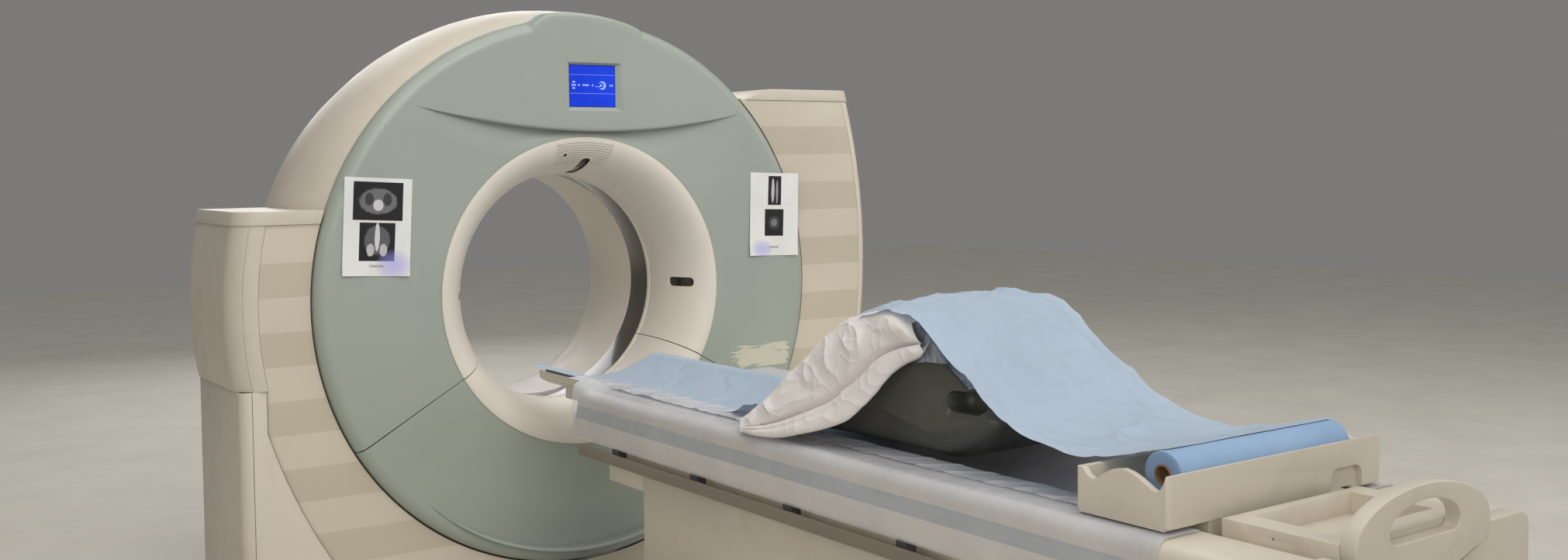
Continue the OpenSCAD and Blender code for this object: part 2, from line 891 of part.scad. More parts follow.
base_frame();
yoke_left();
yoke_right();
tilt_drive();
tilt_bearing();
front_plate_left();
front_plate_right();
corner_panels();
side_cover_left();
side_cover_right();
side_skirts();
tower_caps();
rear_panels();
table_base();
base_cover();
column_outer();
floor_duct();
drum_frame();
front_cover_upper();
front_cover_lower();
funnel_upper();
funnel_lower();
scan_window();
rear_funnel();
rear_cover();
shell_left();
shell_right();
display_screen();
speaker_grille();
laser_windows();
control_panels();
notice_sheets();
rotor_ring();
xray_tube();
collimator();
detector_arc();
generator();
tube_cooler();
slip_ring();
couch_body();
couch_bands();
under_frame();
accessory_rails();
rail_clips();
foot_end_cover();
column_inner();
upper_skirt();
cover_film();
column_mid();
mid_skirt();
cradle_shell();
mattress();
foot_tray();
push_handle();
roll_holder();
roll_core();
paper_roll();
paper_sheet();
leg_bolster();
white_cloth();
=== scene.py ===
import bmesh
import bpy
from math import cos, degrees, pi, radians, sin, sqrt
from mathutils import Matrix, Vector, noise


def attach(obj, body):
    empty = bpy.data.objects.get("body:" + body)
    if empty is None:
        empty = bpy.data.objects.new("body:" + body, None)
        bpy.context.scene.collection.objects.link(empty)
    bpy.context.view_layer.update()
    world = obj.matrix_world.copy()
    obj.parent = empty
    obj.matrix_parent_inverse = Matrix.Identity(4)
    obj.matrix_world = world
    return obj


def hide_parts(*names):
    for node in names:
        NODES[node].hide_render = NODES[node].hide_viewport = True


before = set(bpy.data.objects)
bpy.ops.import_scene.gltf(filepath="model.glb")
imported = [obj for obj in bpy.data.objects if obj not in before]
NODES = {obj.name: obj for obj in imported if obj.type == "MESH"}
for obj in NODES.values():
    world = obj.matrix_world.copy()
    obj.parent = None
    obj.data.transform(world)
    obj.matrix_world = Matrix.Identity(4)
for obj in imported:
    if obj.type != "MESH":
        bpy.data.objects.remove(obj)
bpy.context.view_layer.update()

# Heights, radii and places in the frame, in metres
ISO = 1.020          # bore's middle over the floor
FRONT = -0.333       # Y of the front cover's face
STRIPE = -0.303      # Y of the left tower's striped face
BORE, MOUTH = 0.390, 0.503     # radii of the bore and of the funnel's mouth
BROW = 0.028         # how far the brow stands out
LIE = 0.405          # radius of the hollow that the paper lies in
LIE_Z = ISO - 0.277 + LIE
DECK = ISO - 0.225
PAD_ENDS = (-0.388, -2.790)       # Y of the mattress's ends, ring and foot
ROLL = (-2.9555, -0.133, 0.042)   # roll's Y, its height over the bore's middle, its radius
PHOTO_W, PHOTO_H = 2022, 722


# ---------- small tools ----------
def srgb(r, g, b):
    """A colour given as 0-255 screen values, in linear light."""
    out = []
    for v in (r, g, b):
        v = v / 255
        out.append(v / 12.92 if v <= 0.04045 else ((v + 0.055) / 1.055) ** 2.4)
    return (*out, 1.0)


def mix(a, b, t):
    return a + (b - a) * t


def smooth(t):
    t = max(0.0, min(1.0, t))
    return t * t * (3 - 2 * t)


def spline(points, n):
    """n + 1 points on a Catmull-Rom curve through the given points."""
    pts = [Vector(p) for p in points]
    pts = [pts[0] * 2 - pts[1]] + pts + [pts[-1] * 2 - pts[-2]]
    spans = len(pts) - 3
    out = []
    for i in range(n + 1):
        t = i / n * spans
        k = min(int(t), spans - 1)
        u = t - k
        a, b, c, d = pts[k:k + 4]
        out.append(0.5 * ((2 * b) + (c - a) * u + (2 * a - 5 * b + 4 * c - d) * u * u
                          + (3 * b - a - 3 * c + d) * u ** 3))
    return out


def lookup(table, x):
    """Straight-line value between the pairs of a rising table."""
    if x <= table[0][0]:
        return table[0][1]
    for (x0, y0), (x1, y1) in zip(table, table[1:]):
        if x <= x1:
            return mix(y0, y1, (x - x0) / (x1 - x0))
    return table[-1][1]


def eased(table, x):
    """The same with smooth joins, by averaging nearby values."""
    return sum(lookup(table, x + d) for d in (-0.03, -0.018, -0.006, 0.006, 0.018, 0.03)) / 6


def pick(full):
    return full


def dome(e):
    """Drop of a quarter round, 0 at e = 0 and 1 at e = 1."""
    return 1 - sqrt(max(0.0, 1 - e * e))


def link(obj):
    bpy.context.scene.collection.objects.link(obj)
    return obj


def mesh_object(name, verts, faces, material, flat_angle=40):
    data = bpy.data.meshes.new(name)
    data.from_pydata([tuple(v) for v in verts], [], faces)
    data.update()
    obj = link(bpy.data.objects.new(name, data))
    data.materials.append(material)
    shade(obj, flat_angle)
    return obj


def from_bmesh(name, bm):
    data = bpy.data.meshes.new(name)
    bm.to_mesh(data)
    bm.free()
    return link(bpy.data.objects.new(name, data))


def shade(obj, angle=40):
    """Smooth shading that keeps edges sharper than the angle."""
    data = obj.data
    bm = bmesh.new()
    bm.from_mesh(data)
    for f in bm.faces:
        f.smooth = True
    limit = radians(angle)
    for e in bm.edges:
        sharp = len(e.link_faces) == 2 and e.calc_face_angle(0) > limit
        e.smooth = not sharp
    bm.to_mesh(data)
    bm.free()


def grid_faces(count, w, closed=False):
    """Quads between rows of w points, round to the start where the rows are closed."""
    faces = []
    for i in range(count - 1):
        for j in range(w - (0 if closed else 1)):
            k = (j + 1) % w
            faces.append((i * w + j, i * w + k, (i + 1) * w + k, (i + 1) * w + j))
    return faces


def grid(name, rows, material, closed=False, angle=50):
    """A surface through rows of points."""
    verts = [p for row in rows for p in row]
    return mesh_object(name, verts, grid_faces(len(rows), len(rows[0]), closed), material, angle)


def modifier(obj, kind, name="m", **values):
    m = obj.modifiers.new(name, kind)
    for k, v in values.items():
        setattr(m, k, v)
    return m


def apply_all(obj):
    """Turns the object's modifiers into mesh."""
    deps = bpy.context.evaluated_depsgraph_get()
    data = bpy.data.meshes.new_from_object(obj.evaluated_get(deps))
    obj.modifiers.clear()
    old = obj.data
    obj.data = data
    bpy.data.meshes.remove(old)


def polar(r, angle, y):
    a = radians(angle)
    return Vector((r * cos(a), y, ISO + r * sin(a)))


def box_object(name, lo, hi, material, bevel=0.0, segments=3):
    """A box between two corners with rounded edges."""
    bm = bmesh.new()
    bmesh.ops.create_cube(bm, size=1)
    lo, hi = Vector(lo), Vector(hi)
    for v in bm.verts:
        v.co = Vector([mix(lo[i], hi[i], v.co[i] + 0.5) for i in range(3)])
    if bevel:
        bmesh.ops.bevel(bm, geom=bm.edges[:], offset=bevel, segments=segments, affect="EDGES",
                        profile=0.5)
    obj = from_bmesh(name, bm)
    obj.data.materials.append(material)
    shade(obj, 60)
    return obj


def carve(obj, cutters):
    """Cuts the cutters out of the object and removes them."""
    for c in cutters:
        modifier(obj, "BOOLEAN", operation="DIFFERENCE", object=c, solver="EXACT")
    apply_all(obj)
    for c in cutters:
        bpy.data.objects.remove(c)


def thicken(obj, thickness, offset):
    modifier(obj, "SOLIDIFY", thickness=thickness, offset=offset)
    apply_all(obj)


def place(obj, body, slot, *nodes):
    """The piece rides on a body and stands for the named nodes, which it hides; its slot is not
    used.
    """
    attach(obj, body)
    if nodes:
        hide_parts(*nodes)
    return obj


# ---------- materials ----------
class Paint:
    """A node material over the object's own coordinates."""

    def __init__(self, name):
        self.m = bpy.data.materials.new(name)
        self.m.use_nodes = True
        self.t = self.m.node_tree
        self.b = self.t.nodes["Principled BSDF"]
        self.at = self.t.nodes.new("ShaderNodeTexCoord").outputs["Object"]

    def node(self, kind, **values):
        n = self.t.nodes.new(kind)
        for k, v in values.items():
            setattr(n, k, v)
        return n

    def link(self, a, b):
        self.t.links.new(a, b)

    def math(self, op, a, b=None, c=None):
        n = self.node("ShaderNodeMath", operation=op)
        for i, v in enumerate((a, b, c)):
            if v is None:
                continue
            if isinstance(v, (int, float)):
                n.inputs[i].default_value = v
            else:
                self.link(v, n.inputs[i])
        return n.outputs[0]

    def gap(self, a, c):
        """Distance between two values."""
        return self.math("ABSOLUTE", self.math("SUBTRACT", a, c))

    def window(self, u, v, cu, cv, half_u, half_v):
        """1 inside a rectangle round (cu, cv), 0 outside."""
        return self.math("MULTIPLY", self.math("LESS_THAN", self.gap(u, cu), half_u),
                         self.math("LESS_THAN", self.gap(v, cv), half_v))

    def oval(self, u, v, cu, cv, ru, rv):
        """Squared distance from (cu, cv), 1 on the oval with the given radii."""
        return self.math("ADD", *[
            self.math("POWER", self.math("DIVIDE", self.math("SUBTRACT", a, c), r), 2)
            for a, c, r in ((u, cu, ru), (v, cv, rv))])

    def noise(self, scale, detail=2.0, rough=0.5, at=None, stretch=None):
        src = at or self.at
        if stretch:
            mp = self.node("ShaderNodeMapping")
            mp.inputs["Scale"].default_value = stretch
            self.link(src, mp.inputs["Vector"])
            src = mp.outputs[0]
        n = self.node("ShaderNodeTexNoise")
        n.inputs["Scale"].default_value = scale
        n.inputs["Detail"].default_value = detail
        n.inputs["Roughness"].default_value = rough
        self.link(src, n.inputs["Vector"])
        return n.outputs["Fac"]

    def ramp(self, value, lo, hi, to_lo=0.0, to_hi=1.0):
        n = self.node("ShaderNodeMapRange")
        n.inputs["From Min"].default_value = lo
        n.inputs["From Max"].default_value = hi
        n.inputs["To Min"].default_value = to_lo
        n.inputs["To Max"].default_value = to_hi
        self.link(value, n.inputs["Value"])
        return n.outputs[0]

    def mix(self, fac, a, b):
        n = self.node("ShaderNodeMix", data_type="RGBA")
        if isinstance(fac, (int, float)):
            n.inputs[0].default_value = fac
        else:
            self.link(fac, n.inputs[0])
        for i, v in ((6, a), (7, b)):
            if isinstance(v, tuple):
                n.inputs[i].default_value = v
            else:
                self.link(v, n.inputs[i])
        return n.outputs[2]

    def cloud(self, scale, detail=5, rough=0.5):
        """Soft patches between 0 and 1."""
        return self.ramp(self.noise(scale, detail, rough), 0.3, 0.7)

    def tones(self, fac, base, lo, hi):
        """The base colour between lo and hi times its strength."""
        return self.mix(fac, shift(base, lo), shift(base, hi))

    def axes(self):
        n = self.node("ShaderNodeSeparateXYZ")
        self.link(self.at, n.inputs[0])
        return n.outputs

    def colour(self, socket):
        self.link(socket, self.b.inputs["Base Color"])

    def rough(self, lo, hi, scale=14.0):
        self.link(self.ramp(self.noise(scale, 4), 0.3, 0.7, lo, hi), self.b.inputs["Roughness"])

    def bump(self, height, distance=0.001, strength=0.3):
        n = self.node("ShaderNodeBump")
        n.inputs["Strength"].default_value = strength
        n.inputs["Distance"].default_value = distance
        self.link(height, n.inputs["Height"])
        self.link(n.outputs[0], self.b.inputs["Normal"])

    def set(self, **values):
        for k, v in values.items():
            self.b.inputs[k.replace("_", " ")].default_value = v


def shift(c, k):
    return (c[0] * k, c[1] * k, c[2] * k, 1.0)


def moulded(name, base, rough=(0.34, 0.46), grain=900.0, depth=0.0004, dirt=None, mottling=0.05):
    """Satin moulded plastic or paint: cloudy tone, fine grain, a little grime in patches."""
    p = Paint(name)
    tone = p.tones(p.cloud(2.3, 5, 0.55), base, 1 - mottling, 1 + mottling)
    if dirt:
        smudge = p.ramp(p.noise(9.0, 6, 0.6), 0.52, 0.78, 0.0, 0.35)
        tone = p.mix(smudge, tone, dirt)
    p.colour(tone)
    p.rough(*rough)
    grainy = p.math("ADD", p.noise(grain, 3), p.math("MULTIPLY", p.noise(60.0, 3), 0.6))
    p.bump(grainy, depth, 0.25)
    return p


SAGE = srgb(160, 168, 159)
CREAM = srgb(214, 206, 191)
WHITE = srgb(222, 216, 205)
LIGHT_STRIPE = srgb(206, 197, 180)
DARK_STRIPE = srgb(193, 184, 166)
WORN = srgb(206, 204, 186)


def cover_green():
    """Green front cover with the chipped patch low on the right."""
    p = moulded("cover_green", SAGE, (0.30, 0.40))
    x, _, z = p.axes()
    inside = p.math("MULTIPLY", p.ramp(x, 0.52, 0.62), p.ramp(x, 0.845, 0.80))
    inside = p.math("MULTIPLY", inside, p.ramp(z, ISO - 0.335, ISO - 0.30))
    inside = p.math("MULTIPLY", inside, p.ramp(z, ISO - 0.205, ISO - 0.25))
    flakes = p.noise(15.0, 9, 0.66, stretch=(0.75, 1.0, 4.2))
    amount = p.math("ADD", p.math("MULTIPLY", inside, 0.62), p.math("MULTIPLY", flakes, 1.5))
    chipped = p.math("MULTIPLY", p.math("GREATER_THAN", amount, 1.20),
                     p.math("GREATER_THAN", inside, 0.02))
    tone = p.b.inputs["Base Color"].links[0].from_socket
    p.colour(p.mix(chipped, tone, WORN))
    return p.m


def striped():
    """Beige panel in level bands of two close tones."""
    p = moulded("striped_panel", LIGHT_STRIPE, (0.38, 0.5))
    z = p.axes()[2]
    step = p.math("FRACT", p.math("DIVIDE", p.math("SUBTRACT", z, ISO + 0.036), 0.204))
    dark = p.math("LESS_THAN", step, 0.5)
    cloud = p.cloud(2.0)
    p.colour(p.mix(dark, p.tones(cloud, LIGHT_STRIPE, 0.96, 1.04),
                   p.tones(cloud, DARK_STRIPE, 0.96, 1.04)))
    return p.m


def metal(name, base, rough=(0.3, 0.45), stretch=(1, 60, 60)):
    """Metal with fine lines along X."""
    p = Paint(name)
    lines = p.noise(12.0, 4, stretch=stretch)
    p.colour(p.tones(p.ramp(lines, 0.3, 0.7), base, 0.85, 1.1))
    p.rough(*rough)
    p.set(Metallic=1.0)
    p.bump(lines, 0.0004, 0.2)
    return p.m


def vinyl(name, base, rough=(0.42, 0.6)):
    """Coated fabric: fine pebble with soft wear."""
    p = Paint(name)
    p.colour(p.tones(p.ramp(p.noise(6.0, 5), 0.3, 0.72), base, 0.85, 1.18))
    p.rough(*rough)
    cells = p.node("ShaderNodeTexVoronoi")
    cells.inputs["Scale"].default_value = 420.0
    p.link(p.at, cells.inputs["Vector"])
    p.bump(p.math("ADD", cells.outputs["Distance"], p.noise(90, 3)), 0.0006, 0.35)
    return p.m


def see_through(p, share, tint):
    """Lets part of the light through a thin sheet."""
    out = p.t.nodes["Material Output"]
    back = p.node("ShaderNodeBsdfTranslucent")
    back.inputs["Color"].default_value = tint
    both = p.node("ShaderNodeMixShader")
    both.inputs["Fac"].default_value = share
    p.link(p.b.outputs[0], both.inputs[1])
    p.link(back.outputs[0], both.inputs[2])
    p.link(both.outputs[0], out.inputs["Surface"])


def tissue(name, base, amount=0.05):
    """Crinkled examination paper: fine grain, small creases and broad folds."""
    p = Paint(name)
    p.colour(p.tones(p.cloud(5.0, 6, 0.6), base, 1 - amount, 1 + amount))
    p.rough(0.72, 0.88)
    grain = p.noise(260.0, 4, 0.6, stretch=(0.3, 1.0, 1.0))
    crease = p.math("MULTIPLY", p.noise(26.0, 6, 0.62), 2.0)
    fold = p.math("MULTIPLY", p.ramp(p.gap(p.noise(5.5, 2, 0.5), 0.5), 0.0, 0.10), 14.0)
    p.bump(p.math("ADD", p.math("ADD", grain, crease), fold), 0.0008, 0.35)
    p.set(Sheen_Weight=0.15, Sheen_Roughness=0.6)
    see_through(p, 0.22, shift(base, 0.9))
    return p.m


def wound_paper():
    """Tightly wound paper: fine rings on the ends, faint bands along the turns."""
    p = Paint("roll_paper")
    _, y, z = p.axes()
    dy = p.math("SUBTRACT", y, ROLL[0])
    dz = p.math("SUBTRACT", z, ISO + ROLL[1])
    r = p.math("SQRT", p.math("ADD", p.math("MULTIPLY", dy, dy), p.math("MULTIPLY", dz, dz)))
    wave = p.math("ADD", r, p.math("MULTIPLY", p.noise(60, 3), 0.0012))
    turn = p.math("FRACT", p.math("DIVIDE", wave, 0.0019))
    outer = p.math("GREATER_THAN", r, ROLL[2] - 0.0012)
    rings = p.mix(p.ramp(turn, 0.2, 0.8), srgb(84, 118, 164), srgb(160, 186, 216))
    side = p.mix(p.cloud(5.0, 6, 0.6), srgb(134, 165, 200), srgb(152, 180, 212))
    p.colour(p.mix(outer, rings, side))
    p.rough(0.72, 0.88)
    p.bump(p.noise(120.0, 4, 0.6, stretch=(0.2, 1.0, 1.0)), 0.0006, 0.3)
    return p.m


def linen(name, base):
    """Closely woven cotton."""
    p = Paint(name)
    p.colour(p.tones(p.cloud(8.0), base, 0.95, 1.03))
    p.rough(0.8, 0.92)
    warp = p.noise(1500.0, 2, stretch=(1.0, 0.12, 1.0))
    weft = p.noise(1500.0, 2, stretch=(1.0, 1.0, 0.12))
    weave = p.math("ADD", p.math("ADD", warp, weft), p.math("MULTIPLY", p.noise(40, 4), 2))
    p.bump(weave, 0.0006, 0.35)
    p.set(Sheen_Weight=0.25, Sheen_Roughness=0.5)
    see_through(p, 0.12, shift(base, 0.9))
    return p.m


def film(name="clear_film", veil=0.34):
    """Thin wrinkled polythene: nearly clear, milky on its creases, and whiter over the deck's top
    as painted highlight.
    """
    p = Paint(name)
    p.colour(p.mix(p.cloud(6), srgb(208, 210, 219), srgb(226, 228, 236)))
    p.rough(0.16, 0.34, 20)
    turned = p.node("ShaderNodeMapping")
    turned.inputs["Rotation"].default_value = (0.0, 0.0, radians(38))
    turned.inputs["Scale"].default_value = (1.0, 0.28, 1.0)
    p.link(p.at, turned.inputs["Vector"])
    folds = p.noise(7.0, 3, 0.5, at=turned.outputs[0])
    p.bump(p.math("ADD", folds, p.math("MULTIPLY", p.noise(26.0, 3), 0.06)), 0.010, 0.35)
    milky = p.ramp(p.gap(folds, 0.5), 0.16, 0.0, veil, veil + 0.06)
    # Painted highlight: the film turns more opaque white towards the deck's top
    top = p.ramp(p.axes()[2], DECK - 0.03, DECK, 0.0, 0.26)
    p.link(p.math("ADD", milky, top), p.b.inputs["Alpha"])
    p.set(IOR=1.45)
    return p.m


def liner():
    """Rucked film over dark padding: bluish grey, darkened in its folds as painted shade and
    whitened on its ridges as painted highlight.
    """
    p = Paint("film_liner")
    folds = p.noise(24.0, 5, 0.65, stretch=(1.0, 1.0, 0.5))
    # Painted shade in the folds and painted highlight on the ridges
    p.colour(p.mix(p.ramp(folds, 0.4, 0.65), srgb(112, 120, 138), srgb(188, 192, 202)))
    p.rough(0.2, 0.4, 20)
    p.bump(folds, 0.010, 0.6)
    p.link(p.ramp(folds, 0.35, 0.65, 0.66, 0.92), p.b.inputs["Alpha"])
    return p.m


def dark_glass(name, base, rough=(0.12, 0.22)):
    """Smooth glass or film with a thin clear coat."""
    p = Paint(name)
    p.colour(p.tones(p.cloud(3), base, 0.8, 1.25))
    p.rough(*rough)
    p.bump(p.noise(40, 3), 0.0003, 0.15)
    p.set(Coat_Weight=0.3, Coat_Roughness=0.08)
    return p.m


def screen():
    """Lit blue panel: two thin rules and plain pale marks between them."""
    p = Paint("display_panel")
    x, _, z = p.axes()
    v = p.math("SUBTRACT", z, ISO + 0.676)
    u = p.math("SUBTRACT", x, 0.025)

    def disc(cx, r):
        d = p.math("POWER", p.math("ADD", p.math("POWER", p.gap(u, cx), 2),
                                   p.math("POWER", v, 2)), 0.5)
        return p.math("LESS_THAN", d, r)

    def lozenge(cx, cz, half_w, half_h):
        d = p.math("ADD", p.math("DIVIDE", p.gap(u, cx), half_w),
                   p.math("DIVIDE", p.gap(v, cz), half_h))
        return p.math("LESS_THAN", d, 1.0)

    marks = p.math("SUBTRACT", disc(0.036, 0.0135), disc(0.032, 0.0095))
    parts = [lozenge(-0.069, 0.010, 0.006, 0.004), lozenge(-0.069, -0.010, 0.006, 0.004),
             lozenge(-0.050, 0.0, 0.003, 0.005), lozenge(0.000, 0.0, 0.003, 0.005),
             disc(0.031, 0.004), p.window(u, v, 0.018, -0.004, 0.009, 0.0008)]
    parts += [p.window(u, v, c, 0.0, 0.0022, 0.003)
              for c in (-0.075, -0.069, -0.063, -0.034, -0.028, -0.022, -0.016, 0.066, 0.073)]
    for m in parts:
        marks = p.math("MAXIMUM", marks, m)
    rules = p.math("MAXIMUM", p.math("LESS_THAN", p.gap(v, 0.034), 0.0006),
                   p.math("LESS_THAN", p.gap(v, -0.027), 0.0006))
    lit = p.math("MAXIMUM", p.math("MULTIPLY", rules, 0.55), p.math("MULTIPLY", marks, 0.85))
    blue = p.mix(p.cloud(5, 3), srgb(16, 52, 200), srgb(26, 66, 222))
    tone = p.mix(lit, blue, srgb(170, 192, 246))
    p.colour(tone)
    p.link(tone, p.b.inputs["Emission Color"])
    p.set(Emission_Strength=0.28, Roughness=0.18)
    return p.m


def notice(name, fields, painted_light_at):
    """A white sheet with plain dark fields, pale shapes in them, a caption bar and a patch of
    painted bluish light.
    """
    p = Paint(name)
    x, _, z = p.axes()
    tone = p.mix(p.cloud(9, 4), srgb(222, 222, 220), srgb(234, 234, 233))
    for cx, cz, half_w, half_h, blobs in fields:
        field = srgb(26, 26, 30)
        for bx, bz, rx, rz, level in blobs:
            edge = p.math("ADD", p.oval(x, z, bx, bz, rx, rz),
                          p.math("MULTIPLY", p.noise(70, 3), 0.5))
            field = p.mix(p.ramp(edge, 1.3, 1.05), field, srgb(level, level, level + 4))
        tone = p.mix(p.window(x, z, cx, cz, half_w, half_h), tone, field)
    caption = p.window(x, z, 0.0, -0.118, 0.022, 0.0035)
    grainy = p.math("MULTIPLY", caption, p.math("GREATER_THAN", p.noise(500, 1), 0.5))
    tone = p.mix(grainy, tone, srgb(90, 90, 96))
    # Painted bluish light over an oval of the sheet
    painted_blue_light = p.ramp(p.oval(x, z, *painted_light_at), 1.0, 0.0, 0.0, 0.55)
    p.colour(p.mix(painted_blue_light, tone, srgb(150, 150, 235)))
    p.rough(0.7, 0.85)
    p.bump(p.noise(300, 3), 0.0003, 0.2)
    return p.m


# Looks by short name. Flank and foot are the same cream, a little darker, which follows
# the shade in the photo and is not a known difference of colour.
M = {
    "green": cover_green(),
    "cream": moulded("cream_cover", CREAM, (0.34, 0.46), dirt=srgb(196, 185, 164)).m,
    # Flank and foot: the cream and its grime colour darkened by 0.92 and 0.94 as painted shade
    "flank": moulded("cream_painted_shade_flank", shift(CREAM, 0.92), (0.34, 0.46), dirt=srgb(184, 172, 148)).m,
    "foot": moulded("cream_painted_shade_foot", shift(CREAM, 0.94), (0.34, 0.46), dirt=srgb(178, 167, 144)).m,
    "white": moulded("funnel_white", WHITE, (0.36, 0.48)).m,
    "stripes": striped(),
    "frame": moulded("frame_paint", srgb(140, 143, 146), (0.4, 0.55)).m,
    "rail": moulded("dull_rail", srgb(126, 117, 105), (0.35, 0.5)).m,
    "steel": metal("brushed_steel", srgb(172, 168, 160)),
    "dark": moulded("dark_housing", srgb(62, 62, 65), (0.45, 0.6)).m,
    "window": dark_glass("window_band", srgb(74, 68, 58)),
    "insert": dark_glass("dark_insert", srgb(48, 40, 34), (0.08, 0.16)),
    "screen": screen(),
    "grille": moulded("grille_white", WHITE, (0.38, 0.5)).m,
    # The mattress grey is set light as painted light, lifting its shaded part under the paper
    "pad": vinyl("mattress_vinyl", srgb(176, 174, 180)),
    "bolster": vinyl("bolster_vinyl", srgb(78, 79, 72), (0.36, 0.52)),
    "paper": tissue("examination_paper", srgb(184, 202, 222)),
    "roll": wound_paper(),
    "card": moulded("brown_card", srgb(128, 98, 70), (0.7, 0.85)).m,
    "linen": linen("white_linen", srgb(240, 235, 232)),
    "film": film(),
    "milky": film("milky_film", 0.42),
    "liner": liner(),
    "band": moulded("band_grey", srgb(160, 168, 168), (0.35, 0.48)).m,
    "keypad": dark_glass("keypad_film", srgb(110, 118, 140), (0.3, 0.4)),
    "brass": metal("contact_brass", srgb(190, 160, 96)),
    "gap": moulded("shadow_gap", srgb(40, 40, 38), (0.6, 0.8)).m,
}

NODE_LOOK = {
    "stripes": ("front_plate_left", "front_plate_right"),
    "cream": ("corner_panels", "side_cover_left", "side_cover_right",
              "rear_panels", "rear_cover", "shell_left", "shell_right", "couch_body",
              "base_cover"),
    # Foot parts take the cream darkened as painted shade
    "foot": ("foot_end_cover", "cradle_shell", "foot_tray", "push_handle", "roll_holder"),
    # Flank parts take the cream darkened as painted shade
    "flank": ("tower_caps", "side_skirts", "upper_skirt", "mid_skirt", "under_frame"),
    "green": ("front_cover_upper", "front_cover_lower"),
    "white": ("funnel_upper", "funnel_lower", "rear_funnel"),
    "grille": ("speaker_grille",),
    "window": ("scan_window",),
    "insert": ("laser_windows",),
    "screen": ("display_screen",),
    "frame": ("base_frame", "yoke_left", "yoke_right", "table_base", "drum_frame", "rotor_ring",
              "generator"),
    "dark": ("tilt_drive", "floor_duct", "xray_tube", "detector_arc", "rail_clips"),
    "steel": ("tilt_bearing", "column_outer", "column_mid", "column_inner", "collimator",
              "tube_cooler"),
    "rail": ("accessory_rails",),
    "keypad": ("control_panels",),
    "brass": ("slip_ring",),
    "band": ("couch_bands",),
    "card": ("roll_core",),
    "roll": ("paper_roll",),
    "paper": ("paper_sheet",),
    "pad": ("mattress",),
    "bolster": ("leg_bolster",),
    "linen": ("white_cloth", "notice_sheets"),
    "film": ("cover_film",),
}


def dress_nodes():
    """Gives every CAD node its look."""
    for look, names in NODE_LOOK.items():
        for n in names:
            for s in NODES[n].material_slots:
                s.material = M[look]


def soften_group():
    """Node group that drops stored normals and smooths gentle edges."""
    g = bpy.data.node_groups.new("soft_edges", "GeometryNodeTree")
    for way in ("INPUT", "OUTPUT"):
        g.interface.new_socket("Geometry", in_out=way, socket_type="NodeSocketGeometry")
    start, end, drop, faces, edges, angle, sharp = [g.nodes.new(kind) for kind in (
        "NodeGroupInput", "NodeGroupOutput", "GeometryNodeRemoveAttribute",
        "GeometryNodeSetShadeSmooth", "GeometryNodeSetShadeSmooth",
        "GeometryNodeInputMeshEdgeAngle", "FunctionNodeCompare")]
    drop.inputs["Name"].default_value = "custom_normal"
    edges.domain = "EDGE"
    edges.inputs["Shade Smooth"].default_value = False
    sharp.operation = "GREATER_THAN"
    sharp.inputs[1].default_value = radians(42)
    for a, b in ((start.outputs[0], drop.inputs["Geometry"]),
                 (drop.outputs[0], faces.inputs["Geometry"]),
                 (faces.outputs[0], edges.inputs["Geometry"]),
                 (angle.outputs["Unsigned Angle"], sharp.inputs[0]),
                 (sharp.outputs[0], edges.inputs["Selection"]),
                 (edges.outputs[0], end.inputs[0])):
        g.links.new(a, b)
    return g


# Edge rounding of the moulded nodes that are shown as packed, in metres
SOFT = {"tower_caps": 0.006, "side_cover_right": 0.003, "side_skirts": 0.004, "base_cover": 0.005,
        "rear_panels": 0.002, "couch_body": 0.003, "foot_end_cover": 0.004, "upper_skirt": 0.005,
        "mid_skirt": 0.005, "cradle_shell": 0.0015, "foot_tray": 0.004, "push_handle": 0.0120,
        "roll_holder": 0.0032, "accessory_rails": 0.0025, "rail_clips": 0.002, "shell_left": 0.002,
        "shell_right": 0.002, "rear_cover": 0.003, "rear_funnel": 0.002, "couch_bands": 0.0015,
        "under_frame": 0.003, "front_plate_right": 0.002, "corner_panels": 0.001,
        "scan_window": 0.0008, "roll_core": 0.0008}


def soften_nodes():
    """Rounds and smooths the edges of the nodes in SOFT."""
    group = soften_group()
    for name, width in SOFT.items():
        obj = NODES[name]
        modifier(obj, "WELD", "weld", merge_threshold=0.00005)
        modifier(obj, "BEVEL", "round", width=width, segments=3, limit_method="ANGLE",
                 angle_limit=radians(42), use_clamp_overlap=True)
        modifier(obj, "NODES", "smooth", node_group=group)


# ---------- round front ----------
CREASE_C = (0.050, 3.064)
CREASE_R = 2.540
# Rim radius of the cover by angle, with the raised crown between two sloping shoulders
RIM = [(75.6, 0.8976), (77.2, 0.8985), (79.2, 0.9040), (82.0, 0.9070), (84.8, 0.9095),
       (89.6, 0.9140), (94.3, 0.9180), (98.2, 0.9190), (99.3, 0.9165), (101.7, 0.8990),
       (103.0, 0.8976)]


def crown_r(angle):
    """Rim radius at an angle, averaged over 1.2 degrees to ease the corners of RIM."""
    return sum(lookup(RIM, angle + d) for d in (-0.6, -0.3, 0, 0.3, 0.6)) / 5


def brow_depth(x):
    """How far the brow stands out at X: most in the middle, nothing at its two ends."""
    t = (x - 0.020) / 0.587
    return BROW * max(0.0, 1 - t * t)


def crease_r(angle):
    """Distance from the middle to the crease along a ray, kept inside the rounded rim."""
    c = Vector(CREASE_C)
    k = Vector((cos(radians(angle)), sin(radians(angle)))).dot(c)
    left = k * k - c.length_squared + CREASE_R ** 2
    return min(0.845, k - sqrt(left)) if left > 0 and k > 0 else 0.845


